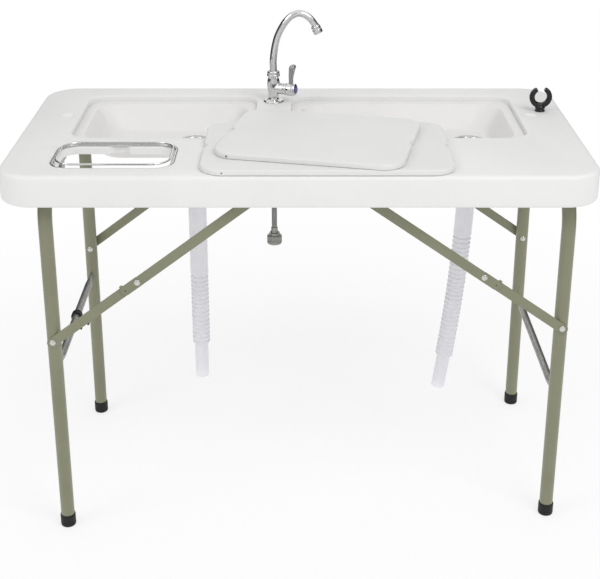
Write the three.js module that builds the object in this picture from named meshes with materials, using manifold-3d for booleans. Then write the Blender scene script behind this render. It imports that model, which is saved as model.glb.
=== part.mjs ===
// Folding fish cleaning table: a moulded top with two basins, a tap, a waste hole and two folding leg frames.
// Millimetres, +Z up. The floor is z = 0, the origin is under the top's middle, and the front is at -Y.
import * as THREE from "three";
import { mergeVertices } from "three/addons/utils/BufferGeometryUtils.js";
import Module from "manifold-3d";

const wasm = await Module();
wasm.setup();

// Clearances and facets
const gap = 0.3; // between two pieces that touch
const overrun = 1; // how far a cutting tool passes a face
const weldDistance = 1e-3;
const cornerSteps = 2; // a quarter round has twice as many facets
const bendSteps = 5;
const tubeSides = 12;
const boreSides = 24;

// The moulded top
const top = { width: 1143, depth: 600, height: 800, apron: 63, panel: 20, rim: 18, corner: 70, edge: 8 };
const recess = { span: 302, corner: 45, fromBack: 67, fromEnd: 103.5, apart: 77 };
const basin = { depth: 62, wall: 3, sideLedge: 20, frontLedge: 20, backLedge: 29, draft: 36, corner: 45 };
const leftSink = { name: "left", side: -1, widthShare: 0.4354, drainShare: 0.65, drainFromEnd: 0 };
const rightSink = { name: "right", side: 1, widthShare: 0.5646, drainShare: 0, drainFromEnd: 100 };
const sinks = [leftSink, rightSink];
const drain = {
  backOfMiddle: 6, flange: 40, lip: 2.5, throat: 29, wall: 2.5, cup: 16, tail: 17, tailEnd: 34,
};
const drainNut = { radius: 38, height: 8 };
const basket = { radius: 24, rim: 34, rimHeight: 1.5, depth: 12, wall: 1.5, knob: 5, knobHeight: 8 };
const dishShare = 0.8; // how deep a dish is halfway out, over its depth
const scoop = { radius: 14, depth: 4, fromRecess: 27 };

// The waste hole and its two wire rings
const waste = {
  fromEnd: 213, fromFront: 121, width: 219, depth: 130, corner: 30, notchWidth: 34, notchReach: 12,
};
const ring = { wire: 2.5, width: 232, depth: 143, corner: 36, upperInset: 6, seat: 5, play: 1 };

// Boards that cover the sinks, laid on the front of the top
const board = { thickness: 11, play: 4, corner: 43, edge: 2 };
const lowerBoardShare = 0.0464; // how far the lower board lies right of the middle, over the width
const lowerBoard = { fromFront: 3 };
const upperBoard = { leftOfLower: 11.4, fromFront: 178, turn: (-12.5 * Math.PI) / 180 };
const thumb = { width: 34, reach: 7 }; // the notch in each short side of a board

// The tap
const tap = { leftOfGap: 1.5, fromBack: 110, flange: 22.3, flangeHeight: 5, waist: 11, waistHeight: 12 };
const tapBelly = { radius: 13.5, height: 48 };
const tapTop = {
  collar: 13.5, neck: 12, collarHeight: 56, height: 70, socket: 14, shank: 10, shankLength: 46,
};
const barrel = { height: 31, radius: 13, length: 32, turn: (-20 * Math.PI) / 180 };
const hub = { radius: 14.5, length: 20 };
const lever = { thickness: 5, foot: 5.5, tip: 11, length: 57, bow: 1 };
const cap = { radius: 8.5, height: 2 };
const spout = { radius: 8.3, wall: 1.3, sides: 10 };
const aerator = { radius: 10.8, length: 19, slip: 10, wall: 2.2 };
const lockNut = { radius: 17, height: 9 };
const nutSides = 6;

// The spout's middle line above the top, out along x and up
const spoutReach = [0, 0, -0.5, 1, 4, 9, 17, 27, 40, 55, 69, 81, 90, 95];
const spoutRise = [60, 75, 90, 107, 126, 145, 163, 179, 192, 198, 195, 186, 174, 163];

// The water inlet that hangs under the tap
const supply = { radius: 6, sides: 8, endDrop: 294, bow: 18, knots: 9 };
const inlet = { neck: 8, neckLength: 20, radius: 17, height: 21, bore: 12, boreDepth: 16 };

// The rod rest
const rodRest = { fromEnd: 50.5, fromBack: 185, post: 10.8, postHeight: 22 };
const rodRing = { outer: 24.5, inner: 13, thickness: 13, middle: 32 };
const rodMouth = (50 * Math.PI) / 180; // the mouth of the fork
const rodStud = { radius: 5, length: 34, nut: 11, nutHeight: 7 };

// Drain hoses: how far each stretch runs down the hose, in millimetres
const hose = { radius: 20, bore: 18.7, crest: 20, root: 17.6, ribBore: 15.4, cuff: 15.2, cuffBore: 13.2 };
const hoseSides = 8;
const ribPitch = 10.8;
const ribsPerBoreRing = 5;
const leftHose = { name: "left", smooth: 272, ribs: 16, cuff: 87 };
const leftHoseLean = [0, 0];
const rightHose = { name: "right", smooth: 177, ribs: 28, cuff: 81 };
const rightHoseLean = [0, -2, -8, -17.5, -30, -45];
const hoseTop = 14; // how far the hose slips up over the drain's tail

// The leg frames
const leg = { radius: 14, wall: 1.5, inset: 70, offset: 20, bend: 80 };
const foot = { radius: 15.8, height: 28, floor: 3 };
const crossBar = { radius: 8, blade: 5, bladeHeight: 20, bladeLength: 34 };
const clip = { wall: 3.4, width: 14, fromMiddle: 9, hookX: 14, hookZ: -20, outer: 12.5, inner: 8.8, web: 8 };
const clipMouth = (110 * Math.PI) / 180;
const clamp = { length: 36, width: 30, wall: 3.5 };
const link = { width: 20, thickness: 2, tail: 40, end: 12 };
const lug = { length: 7, height: 3.5, thickness: 1.6 };
const rivet = { radius: 3, head: 6, headHeight: 1.8, length: 9 };
const bracket = { drop: 37, length: 30, plate: 3, flange: 6, ear: 6, width: 24 };
const kneeDrop = 36; // how far under the top the knees lie with the legs folded
// Each frame's heights are told as drops from the top, and its folding angle in degrees
const leftFrame = { name: "left", side: -1, fromEnd: 83.5, hinge: 37, clampInset: 40, rivet: 362, bar: 430 };
const rightFrame = { name: "right", side: 1, fromEnd: 43.5, hinge: 65, clampInset: 16, rivet: 352, bar: 510 };
const braceSlope = [0.76, 0.7];
const foldAngle = [83, 81];

// Materials
const finish = (color, roughness, metalness) =>
  new THREE.MeshStandardMaterial({ color, roughness, metalness });
const whitePlastic = finish(0xe9e9e7, 0.5, 0);
const basinPlastic = finish(0xe6e6e1, 0.42, 0);
const boardPlastic = finish(0xe4e4e3, 0.45, 0);
const chrome = finish(0xc9cbcd, 0.12, 1);
const brushed = finish(0x9a9a98, 0.35, 1);
const olivePaint = finish(0x8b8b76, 0.48, 0.1);
const greySteel = finish(0x8f8f8c, 0.4, 0.8);
const blackPlastic = finish(0x161616, 0.35, 0);
const blackRubber = finish(0x141414, 0.7, 0);
const bluePlastic = finish(0x4a4a86, 0.3, 0);
const leverPlastic = finish(0x8d8d8c, 0.45, 0);
const hosePlastic = finish(0xdfe0e6, 0.4, 0);

const table = new THREE.Group();

function place(name, geometry, material, x = 0, y = 0, z = 0) {
  const mesh = new THREE.Mesh(geometry, material);
  mesh.name = name;
  mesh.position.set(x, y, z);
  table.add(mesh);
  return mesh;
}

// Solids that can be joined and cut
function solidOf(geometry) {
  const loose = geometry.index ? geometry.toNonIndexed() : geometry.clone();
  const bare = new THREE.BufferGeometry().setAttribute("position", loose.getAttribute("position"));
  const merged = mergeVertices(bare, weldDistance);
  const vertProperties = merged.attributes.position.array;
  const triVerts = new Uint32Array(merged.index.array);
  return new wasm.Manifold(new wasm.Mesh({ numProp: 3, vertProperties, triVerts }));
}

function geometryOf(made) {
  const { vertProperties, triVerts } = made.getMesh();
  const geometry = new THREE.BufferGeometry();
  geometry.setAttribute("position", new THREE.BufferAttribute(new Float32Array(vertProperties), 3));
  geometry.setIndex(new THREE.BufferAttribute(new Uint32Array(triVerts), 1));
  return geometry;
}

const cut = (body, ...tools) =>
  geometryOf(tools.reduce((left, tool) => left.subtract(solidOf(tool)), solidOf(body)));
const join = (body, ...more) =>
  geometryOf(more.reduce((whole, piece) => whole.add(solidOf(piece)), solidOf(body)));

// Flat shapes
function roundedRectangle(width, depth, radius) {
  const x = width / 2 - radius;
  const y = depth / 2 - radius;
  const shape = new THREE.Shape();
  shape.absarc(x, -y, radius, -Math.PI / 2, 0);
  shape.absarc(x, y, radius, 0, Math.PI / 2);
  shape.absarc(-x, y, radius, Math.PI / 2, Math.PI);
  shape.absarc(-x, -y, radius, Math.PI, 1.5 * Math.PI);
  return shape;
}

function disc(radius) {
  return new THREE.Shape().absarc(0, 0, radius, 0, 2 * Math.PI);
}

// A plate from one height to another, with its lower and upper edges bevelled where an edge is given
function slab(shape, low, high, edge = 0, steps = cornerSteps) {
  const depth = high - low - 2 * edge;
  const bevel = { bevelSize: edge, bevelThickness: edge, bevelOffset: -edge, bevelSegments: 2 };
  const settings = { depth, curveSegments: steps, bevelEnabled: edge > 0, ...bevel };
  return new THREE.ExtrudeGeometry(shape, settings).translate(0, 0, low + edge);
}

function rod(radius, low, high, sides = tubeSides) {
  const length = high - low;
  const cylinder = new THREE.CylinderGeometry(radius, radius, length, sides);
  return cylinder.rotateX(Math.PI / 2).translate(0, 0, low + length / 2);
}

// The circle round a bore whose flats clear a shaft
const boreRound = (radius, sides = boreSides) => radius / Math.cos(Math.PI / sides);

// A turned piece from [radius, height] pairs, going up its outside
function turned(profile, sides = tubeSides) {
  const points = profile.map(([radius, height]) => new THREE.Vector2(radius, height));
  return new THREE.LatheGeometry(points, sides).rotateX(Math.PI / 2);
}

// A path with one ring of the tube at each of its points
class Route extends THREE.Curve {
  constructor(points, closed = false) {
    super();
    this.points = closed ? [...points, points[0]] : points;
    this.closed = closed;
  }

  getPoint(t, target = new THREE.Vector3()) {
    const along = t * (this.points.length - 1);
    const before = Math.min(Math.floor(along), this.points.length - 2);
    return target.lerpVectors(this.points[before], this.points[before + 1], along - before);
  }

  getPointAt(u, target) {
    return this.getPoint(u, target);
  }

  getTangent(t, target = new THREE.Vector3()) {
    const last = this.points.length - 1;
    const here = Math.round(t * last);
    const wrapped = this.closed && here % last === 0;
    const before = this.points[wrapped ? last - 1 : Math.max(here - 1, 0)];
    const after = this.points[wrapped ? 1 : Math.min(here + 1, last)];
    const coming = this.points[here].clone().sub(before).normalize();
    return target.copy(after).sub(this.points[here]).normalize().add(coming).normalize();
  }

  getTangentAt(u, target) {
    return this.getTangent(u, target);
  }
}

// Corner points joined by round bends
function bent(corners, radius, closed = false) {
  const count = corners.length;
  const points = [];
  corners.forEach((corner, i) => {
    if (!closed && (i === 0 || i === count - 1)) {
      points.push(corner.clone());
      return;
    }
    const coming = corner.clone().sub(corners[(i + count - 1) % count]).normalize();
    const going = corners[(i + 1) % count].clone().sub(corner).normalize();
    const turn = coming.angleTo(going);
    const inward = going.clone().addScaledVector(coming, -coming.dot(going)).normalize();
    const centre = corner.clone().addScaledVector(coming, -radius * Math.tan(turn / 2));
    centre.addScaledVector(inward, radius);
    for (let step = 0; step <= bendSteps; step++) {
      const angle = (turn * step) / bendSteps;
      const spoke = coming.clone().multiplyScalar(Math.sin(angle)).addScaledVector(inward, -Math.cos(angle));
      points.push(centre.clone().addScaledVector(spoke, radius));
    }
  });
  return points;
}

function tube(points, radius, wall = 0, sides = tubeSides) {
  const section = disc(radius);
  if (wall > 0) section.holes.push(new THREE.Path().absarc(0, 0, radius - wall, 0, 2 * Math.PI));
  const options = { steps: points.length - 1, curveSegments: sides / 2, bevelEnabled: false };
  return new THREE.ExtrudeGeometry(section, { ...options, extrudePath: new Route(points) });
}

// A closed skin through rings of points, and, where inner rings are given, a bore through it
function skin(outer, inner = null) {
  const rings = inner ? [...outer, ...inner.slice().reverse()] : outer;
  const sides = rings[0].length;
  const index = [];
  const loops = inner ? rings.length : rings.length - 1;
  for (let i = 0; i < loops; i++) {
    const low = i * sides;
    const high = ((i + 1) % rings.length) * sides;
    for (let j = 0; j < sides; j++) {
      const next = (j + 1) % sides;
      index.push(low + j, low + next, high + next, low + j, high + next, high + j);
    }
  }
  if (!inner) {
    const last = (rings.length - 1) * sides;
    for (let j = 1; j < sides - 1; j++) index.push(0, j + 1, j, last, last + j, last + j + 1);
  }
  const positions = new Float32Array(rings.flat().flatMap((point) => point.toArray()));
  const geometry = new THREE.BufferGeometry();
  geometry.setAttribute("position", new THREE.BufferAttribute(positions, 3));
  geometry.setIndex(index);
  return geometry;
}

function rectangleRing(width, depth, radius, height, y = 0) {
  const points = roundedRectangle(width, depth, radius).extractPoints(cornerSteps).shape;
  return points.map((point) => new THREE.Vector3(point.x, point.y + y, height));
}

// Places that several pieces share
const frames = [leftFrame, rightFrame].map((frame, i) => ({
  ...frame,
  hinge: top.height - frame.hinge,
  rivet: top.height - frame.rivet,
  bar: top.height - frame.bar,
  slope: braceSlope[i],
  fold: foldAngle[i],
}));
const legSpacing = top.depth - 2 * leg.inset;
const bracketHeight = top.height - bracket.drop;
const kneeHeight = top.height - kneeDrop;
const sinkRoom = top.width - 2 * recess.fromEnd - recess.apart;
const sinkWidth = (sink) => sinkRoom * sink.widthShare;
const wasteX = waste.fromEnd - top.width / 2;
const wasteY = waste.fromFront - top.depth / 2;
const tapX = recess.fromEnd - top.width / 2 + sinkWidth(leftSink) + recess.apart / 2 - tap.leftOfGap;
const tapY = top.depth / 2 - tap.fromBack;
const rodX = top.width / 2 - rodRest.fromEnd;
const rodY = top.depth / 2 - rodRest.fromBack;
const supplyEnd = top.height - supply.endDrop;
const underside = top.height - top.panel;
const frontEdge = -top.depth / 2;
const recessY = top.depth / 2 - recess.fromBack - recess.span / 2;
const sinkX = (sink) => sink.side * (top.width / 2 - recess.fromEnd - sinkWidth(sink) / 2);
const drainInset = (sink) => sink.drainFromEnd + sinkWidth(sink) * sink.drainShare;
const drainX = (sink) => sink.side * (top.width / 2 - recess.fromEnd - drainInset(sink));
const drainY = recessY + drain.backOfMiddle;
const ledge = top.height - board.thickness - gap;
const basinFloor = top.height - basin.depth;
const mouthY = recessY + (basin.frontLedge - basin.backLedge) / 2;
const mouthSize = (sink) => [
  sinkWidth(sink) - 2 * basin.sideLedge,
  recess.span - basin.frontLedge - basin.backLedge,
];

// A shallow round dish for a finger, with its rim at height zero
function dish() {
  return turned([
    [0, -scoop.depth],
    [scoop.radius / 2, -scoop.depth * dishShare],
    [scoop.radius, 0],
    [scoop.radius, overrun],
    [0, overrun],
  ], 20);
}

function tabletop() {
  const outline = roundedRectangle(top.width, top.depth, top.corner);
  const outer = slab(outline, top.height - top.apron, top.height, top.edge);
  const bay = roundedRectangle(top.width - 2 * top.rim, top.depth - 2 * top.rim, top.corner - top.rim);
  const tools = [slab(bay, top.height - top.apron - overrun, underside)];
  for (const sink of sinks) {
    const x = sinkX(sink);
    const [mouthWidth, mouthDepth] = mouthSize(sink);
    const seat = roundedRectangle(sinkWidth(sink), recess.span, recess.corner);
    tools.push(slab(seat, ledge - basin.wall - gap, top.height + overrun).translate(x, recessY, 0));
    const clear = 2 * (basin.wall + gap);
    const opening = roundedRectangle(mouthWidth + clear, mouthDepth + clear, basin.corner + clear / 2);
    tools.push(slab(opening, underside - overrun, ledge).translate(x, mouthY, 0));
    const liftX = x + sink.side * (sinkWidth(sink) / 2 + scoop.fromRecess);
    tools.push(dish().translate(liftX, recessY, top.height));
  }
  const notch = 2 * waste.notchReach;
  for (const hole of [
    roundedRectangle(waste.width, waste.depth, waste.corner),
    roundedRectangle(waste.notchWidth, waste.depth + notch, waste.notchReach),
  ])
    tools.push(slab(hole, underside - overrun, top.height + overrun).translate(wasteX, wasteY, 0));
  const seat = roundedRectangle(
    ring.width + 2 * (ring.wire + ring.play),
    ring.depth + 2 * (ring.wire + ring.play),
    ring.corner + ring.wire + ring.play,
  );
  tools.push(slab(seat, top.height - ring.seat, top.height + overrun).translate(wasteX, wasteY, 0));
  const shankHole = rod(boreRound(tapTop.shank + gap), underside - overrun, top.height + overrun);
  tools.push(shankHole.translate(tapX, tapY, 0));
  const studHole = rod(boreRound(rodStud.radius + gap), underside - overrun, top.height + overrun);
  tools.push(studHole.translate(rodX, rodY, 0));
  place("tabletop", cut(outer, ...tools), whitePlastic);
}

// A basin drops into its recess and hangs on a flat flange
function sinkBasin(sink) {
  const [width, depth] = mouthSize(sink);
  const shell = (grow, low, high, draft) => [
    rectangleRing(width + grow - 2 * draft, depth + grow - 2 * draft, basin.corner + grow / 2, low, mouthY),
    rectangleRing(width + grow, depth + grow, basin.corner + grow / 2, high, mouthY),
  ];
  const flange = roundedRectangle(sinkWidth(sink) - 2 * gap, recess.span - 2 * gap, recess.corner - gap);
  const plate = slab(flange, ledge - basin.wall, ledge).translate(0, recessY, 0);
  const outside = skin(shell(2 * basin.wall, basinFloor - basin.wall, ledge - basin.wall / 2, basin.draft));
  const inside = skin(shell(0, basinFloor, ledge + overrun, basin.draft));
  const below = basinFloor - basin.wall - overrun;
  const hole = rod(boreRound(drain.throat + gap), below, basinFloor + overrun, boreSides);
  hole.translate(drainX(sink) - sinkX(sink), drainY, 0);
  place(`${sink.name}_basin`, cut(join(plate, outside), inside, hole), basinPlastic, sinkX(sink));
}

// A drain's flange lies on the basin's floor; its cup narrows to the tail that the hose slips over
function sinkDrain(sink) {
  const inner = drain.throat - drain.wall;
  const body = turned([
    [drain.tail - drain.wall, -drain.cup - drain.tailEnd],
    [drain.tail, -drain.cup - drain.tailEnd],
    [drain.tail, -drain.cup - drain.wall],
    [drain.throat, -drain.cup],
    [drain.throat, gap],
    [drain.flange, gap],
    [drain.flange - drain.lip / 2, drain.lip],
    [inner + drain.lip, drain.lip],
    [inner, 0],
    [inner, -drain.cup + drain.wall],
    [drain.tail - drain.wall, -drain.cup],
    [drain.tail - drain.wall, -drain.cup - drain.tailEnd],
  ], 20);
  place(`${sink.name}_drain`, body, chrome, drainX(sink), drainY, basinFloor);
  const rimLow = drain.lip + gap;
  const strainer = turned([
    [0, rimLow + basket.rimHeight - basket.depth - basket.wall],
    [basket.radius, rimLow + basket.rimHeight - basket.depth - basket.wall],
    [basket.radius, rimLow],
    [basket.rim, rimLow],
    [basket.rim, rimLow + basket.rimHeight],
    [basket.radius - basket.wall, rimLow + basket.rimHeight],
    [basket.radius - basket.wall, rimLow + basket.rimHeight - basket.depth],
    [basket.knob, rimLow + basket.rimHeight - basket.depth],
    [basket.knob, rimLow + basket.rimHeight - basket.depth + basket.knobHeight],
    [0, rimLow + basket.rimHeight - basket.depth + basket.knobHeight],
  ], 16);
  place(`${sink.name}_strainer`, strainer, chrome, drainX(sink), drainY, basinFloor);
}

// A lock nut under the basin's floor holds the drain
function sinkDrainNut(sink) {
  const nut = cut(
    rod(drainNut.radius, -drainNut.height, 0, 8),
    rod(boreRound(drain.throat + gap), -drainNut.height - overrun, overrun, boreSides),
  );
  place(`${sink.name}_drain_nut`, nut, basinPlastic, drainX(sink), drainY, basinFloor - basin.wall - gap);
}

// A drain hose hangs from the tail: a smooth stretch, ribs and a narrower cuff, with a bore all the way
function drainHose(plan, leanPoints, sink) {
  const length = plan.smooth + plan.ribs * ribPitch + plan.cuff;
  const start = basinFloor - drain.cup - drain.tailEnd + hoseTop;
  const lean = new THREE.SplineCurve(
    leanPoints.map((x, i) => new THREE.Vector2(x, (-i * length) / (leanPoints.length - 1))),
  );
  const ringAt = (distance, radius) => {
    const t = distance / length;
    const middle = lean.getPoint(t);
    const along = lean.getTangent(t);
    return Array.from({ length: hoseSides }, (_, i) => {
      const angle = (2 * Math.PI * i) / hoseSides;
      const across = radius * Math.cos(angle);
      const side = radius * Math.sin(angle);
      return new THREE.Vector3(middle.x - along.y * across, side, middle.y + along.x * across);
    });
  };
  const outer = [ringAt(0, hose.radius), ringAt(plan.smooth - ribPitch / 4, hose.radius)];
  const inner = [ringAt(0, hose.bore), ringAt(plan.smooth - ribPitch / 4, hose.bore)];
  for (let rib = 0; rib < plan.ribs; rib++) {
    const at = plan.smooth + rib * ribPitch;
    outer.push(ringAt(at + ribPitch / 4, hose.root), ringAt(at + (3 * ribPitch) / 4, hose.crest));
    if (rib % ribsPerBoreRing === 0) inner.push(ringAt(at + ribPitch / 4, hose.ribBore));
  }
  const cuffStart = plan.smooth + plan.ribs * ribPitch;
  for (const distance of [cuffStart + ribPitch / 2, length]) {
    outer.push(ringAt(distance, hose.cuff));
    inner.push(ringAt(distance, hose.cuffBore));
  }
  const shell = skin(outer.reverse(), inner.reverse());
  place(`${plan.name}_drain_hose`, shell, hosePlastic, drainX(sink), drainY, start);
}

function wasteRings() {
  const loop = (width, depth, y) => {
    const corners = [[-1, -1], [1, -1], [1, 1], [-1, 1]];
    return corners.map(([i, j]) => new THREE.Vector3((i * width) / 2, y + (j * depth) / 2, 0));
  };
  const wire = (corners) => {
    const path = new Route(bent(corners, ring.corner, true), true);
    return new THREE.TubeGeometry(path, path.points.length - 1, ring.wire, 8, true);
  };
  const lowerZ = top.height - ring.seat + gap + ring.wire;
  const upperZ = lowerZ + 2 * ring.wire + gap;
  place("bag_ring_lower", wire(loop(ring.width, ring.depth, 0)), chrome, wasteX, wasteY, lowerZ);
  const upperDepth = ring.depth - 2 * ring.upperInset;
  const upper = loop(ring.width - 2 * ring.upperInset, upperDepth, -upperDepth / 2);
  place("bag_ring_upper", wire(upper), chrome, wasteX, wasteY + ring.depth / 2, upperZ);
}

function boards() {
  const plate = (width) => {
    const outline = roundedRectangle(width - board.play, recess.span - board.play, board.corner);
    const whole = slab(outline, 0, board.thickness, board.edge);
    const notches = [-1, 1].map((end) => {
      const notch = roundedRectangle(2 * thumb.reach, thumb.width, thumb.reach);
      const middle = (end * (width - board.play)) / 2;
      return slab(notch, -overrun, board.thickness + overrun).translate(middle, 0, 0);
    });
    return cut(whole, ...notches);
  };
  const [left, right] = sinks;
  const lowerX = top.width * lowerBoardShare;
  const lowerY = frontEdge + lowerBoard.fromFront + (recess.span - board.play) / 2;
  place("right_sink_board", plate(sinkWidth(right)), boardPlastic, lowerX, lowerY, top.height + gap);
  const upperZ = top.height + board.thickness + 2 * gap;
  const upperX = lowerX - upperBoard.leftOfLower;
  const upperY = frontEdge + upperBoard.fromFront;
  const upper = place("left_sink_board", plate(sinkWidth(left)), boardPlastic, upperX, upperY, upperZ);
  upper.rotation.z = upperBoard.turn;
}

// The tap's body, with a side barrel that carries the lever
function tapBody() {
  const body = turned([
    [0, -tapTop.shankLength],
    [tapTop.shank, -tapTop.shankLength],
    [tapTop.shank, gap],
    [tap.flange, gap],
    [tap.flange, tap.flangeHeight / 2],
    [tap.waist + gap, tap.flangeHeight],
    [tap.waist, tap.waistHeight],
    [tapBelly.radius, barrel.height],
    [tapBelly.radius, tapBelly.height],
    [tapTop.neck, tapTop.collarHeight],
    [tapTop.collar, tapTop.collarHeight + tap.flangeHeight / 2],
    [tapTop.collar, tapTop.height],
    [0, tapTop.height],
  ], 16);
  const arm = rod(barrel.radius, 0, barrel.length).rotateY(Math.PI / 2);
  arm.rotateZ(barrel.turn).translate(0, 0, barrel.height);
  const socketFloor = tapTop.height - tapTop.socket;
  const socket = rod(boreRound(spout.radius + gap), socketFloor, tapTop.height + overrun, boreSides);
  const inletTop = -tapTop.shankLength + lockNut.height;
  const inletBore = rod(boreRound(supply.radius + gap), inletTop - tapTop.shankLength, inletTop, boreSides);
  place("tap_body", cut(join(body, arm), socket, inletBore), chrome, tapX, tapY, top.height);
  const nut = cut(
    rod(lockNut.radius, -lockNut.height, 0, nutSides),
    rod(boreRound(tapTop.shank + gap), -lockNut.height - overrun, overrun, boreSides),
  );
  place("tap_lock_nut", nut, greySteel, tapX, tapY, underside - gap);
}

// The lever turns on the barrel: local z runs out along the barrel and local y points up
function tapLever() {
  const paddle = new THREE.Shape();
  const reach = lever.length;
  paddle.moveTo(-lever.foot, 0);
  paddle.lineTo(lever.foot, 0);
  paddle.quadraticCurveTo(lever.foot + lever.bow, reach / 2, lever.tip, reach - lever.tip);
  paddle.absarc(0, reach - lever.tip, lever.tip, 0, Math.PI);
  paddle.quadraticCurveTo(-lever.foot - lever.bow, reach / 2, -lever.foot, 0);
  const margin = (hub.length - lever.thickness) / 2;
  const blade = slab(paddle, margin, margin + lever.thickness, 0, 3);
  const geometry = join(rod(hub.radius, 0, hub.length, 16), blade);
  const out = barrel.length + gap;
  const x = tapX + out * Math.cos(barrel.turn);
  const y = tapY + out * Math.sin(barrel.turn);
  const turn = new THREE.Matrix4().makeRotationZ(barrel.turn);
  const stand = new THREE.Matrix4().makeBasis(
    new THREE.Vector3(0, 1, 0), new THREE.Vector3(0, 0, 1), new THREE.Vector3(1, 0, 0),
  );
  const pose = turn.multiply(stand);
  place("tap_lever", geometry, leverPlastic, x, y, top.height + barrel.height).setRotationFromMatrix(pose);
  const button = slab(disc(cap.radius), hub.length + gap, hub.length + gap + cap.height, 0, 6);
  place("lever_cap", button, bluePlastic, x, y, top.height + barrel.height).setRotationFromMatrix(pose);
}

// The spout stands in the body's socket and swivels there
function tapSpout() {
  const line = spoutReach.map((x, i) => new THREE.Vector3(x, 0, spoutRise[i]));
  place("tap_spout", tube(line, spout.radius, spout.wall, spout.sides), chrome, tapX, tapY, top.height);
  const end = line[line.length - 1];
  const along = end.clone().sub(line[line.length - 2]).normalize();
  const inner = boreRound(spout.radius + gap, spout.sides * 2);
  const tip = cut(
    rod(aerator.radius, -aerator.slip, aerator.length - aerator.slip, 16),
    rod(inner, -aerator.slip - overrun, gap, spout.sides * 2),
    rod(spout.radius - aerator.wall, 0, aerator.length),
  );
  const head = place("spout_aerator", tip, chrome, tapX + end.x, tapY, top.height + end.z);
  head.quaternion.setFromUnitVectors(new THREE.Vector3(0, 0, 1), along);
}

// A short hose hangs from the tap's shank, leans forward past the folded leg and ends in the inlet's nut
function waterInlet() {
  const start = top.height - tapTop.shankLength + lockNut.height - gap;
  const points = Array.from({ length: supply.knots }, (_, i) => {
    const share = i / (supply.knots - 1);
    const forward = (supply.bow * (1 - Math.cos(Math.PI * share))) / 2;
    return new THREE.Vector3(0, -forward, (supplyEnd - start) * share);
  });
  place("supply_hose", tube(points, supply.radius, 0, supply.sides), brushed, tapX, tapY, start);
  const low = -gap - inlet.neckLength - inlet.height;
  const coupling = turned([
    [0, low + inlet.boreDepth],
    [inlet.bore, low + inlet.boreDepth],
    [inlet.bore, low],
    [inlet.radius, low],
    [inlet.radius, low + inlet.height],
    [inlet.neck, low + inlet.height],
    [inlet.neck, -gap],
    [0, -gap],
  ], 16);
  place("inlet_nut", coupling, greySteel, tapX, tapY - supply.bow, supplyEnd);
}

function rodHolder() {
  const half = rodMouth / 2;
  const fork = new THREE.Shape();
  fork.absarc(0, 0, rodRing.outer, Math.PI / 2 + half, 2.5 * Math.PI - half);
  fork.absarc(0, 0, rodRing.inner, 2.5 * Math.PI - half, Math.PI / 2 + half, true);
  const hook = slab(fork, -rodRing.thickness / 2, rodRing.thickness / 2, 0, 8);
  hook.rotateX(Math.PI / 2).translate(0, 0, rodRing.middle);
  const post = rod(rodRest.post, gap, rodRest.postHeight, 16);
  const bore = rod(rodRing.inner, -rodRing.outer, rodRing.outer, 16);
  bore.rotateX(Math.PI / 2).translate(0, 0, rodRing.middle);
  const stud = rod(rodStud.radius, -rodStud.length, overrun);
  place("rod_holder_clip", cut(join(hook, post, stud), bore), blackPlastic, rodX, rodY, top.height);
  const nut = cut(
    rod(rodStud.nut, -rodStud.nutHeight, 0, nutSides),
    rod(boreRound(rodStud.radius + gap), -rodStud.nutHeight - overrun, overrun, boreSides),
  );
  place("rod_holder_nut", nut, blackPlastic, rodX, rodY, underside - gap);
}

// The folding braces: at rest the links lie in one line from the leg's rivet to the bracket under the top.
// Folded, the knee lies at its own height under the top, beyond the leg's rivet: the lengths follow.
function linkage(frame) {
  const rise = bracketHeight - frame.rivet;
  const run = rise / frame.slope;
  const straight = Math.hypot(rise, run);
  const arm = frame.hinge - frame.rivet;
  const turn = (frame.fold * Math.PI) / 180;
  const apart = run - arm * Math.sin(turn);
  const overBracket = kneeHeight - bracketHeight;
  const overRivet = kneeHeight - frame.hinge + arm * Math.cos(turn);
  const reach = (straight ** 2 - apart ** 2 - overBracket ** 2 + overRivet ** 2) / (2 * straight);
  const lean = apart / straight;
  const squeeze = 1 - lean ** 2;
  const beyond = (Math.sqrt(reach ** 2 - squeeze * overRivet ** 2) - reach * lean) / squeeze;
  const lower = reach - lean * beyond;
  return { run, lower, upper: straight - lower, angle: Math.atan2(rise, run) };
}

// A flat bar with round ends, from its first pivot out along x
function flatBar(length, before, after, holes) {
  const half = link.width / 2;
  const shape = new THREE.Shape();
  shape.absarc(length + after - half, 0, half, -Math.PI / 2, Math.PI / 2);
  shape.absarc(-before + half, 0, half, Math.PI / 2, 1.5 * Math.PI);
  for (const x of holes) shape.holes.push(new THREE.Path().absarc(x, 0, rivet.radius + gap, 0, 2 * Math.PI));
  return new THREE.ExtrudeGeometry(shape, { depth: link.thickness, curveSegments: 4, bevelEnabled: false });
}

// Faces a flat bar, drawn in x and y, to the front or back and turns it up to its angle
function lay(mesh, frame, angle) {
  mesh.rotation.set(Math.PI / 2, 0, 0);
  const turn = -frame.side > 0 ? angle : Math.PI - angle;
  mesh.quaternion.premultiply(new THREE.Quaternion().setFromAxisAngle(new THREE.Vector3(0, 1, 0), -turn));
}

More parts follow.
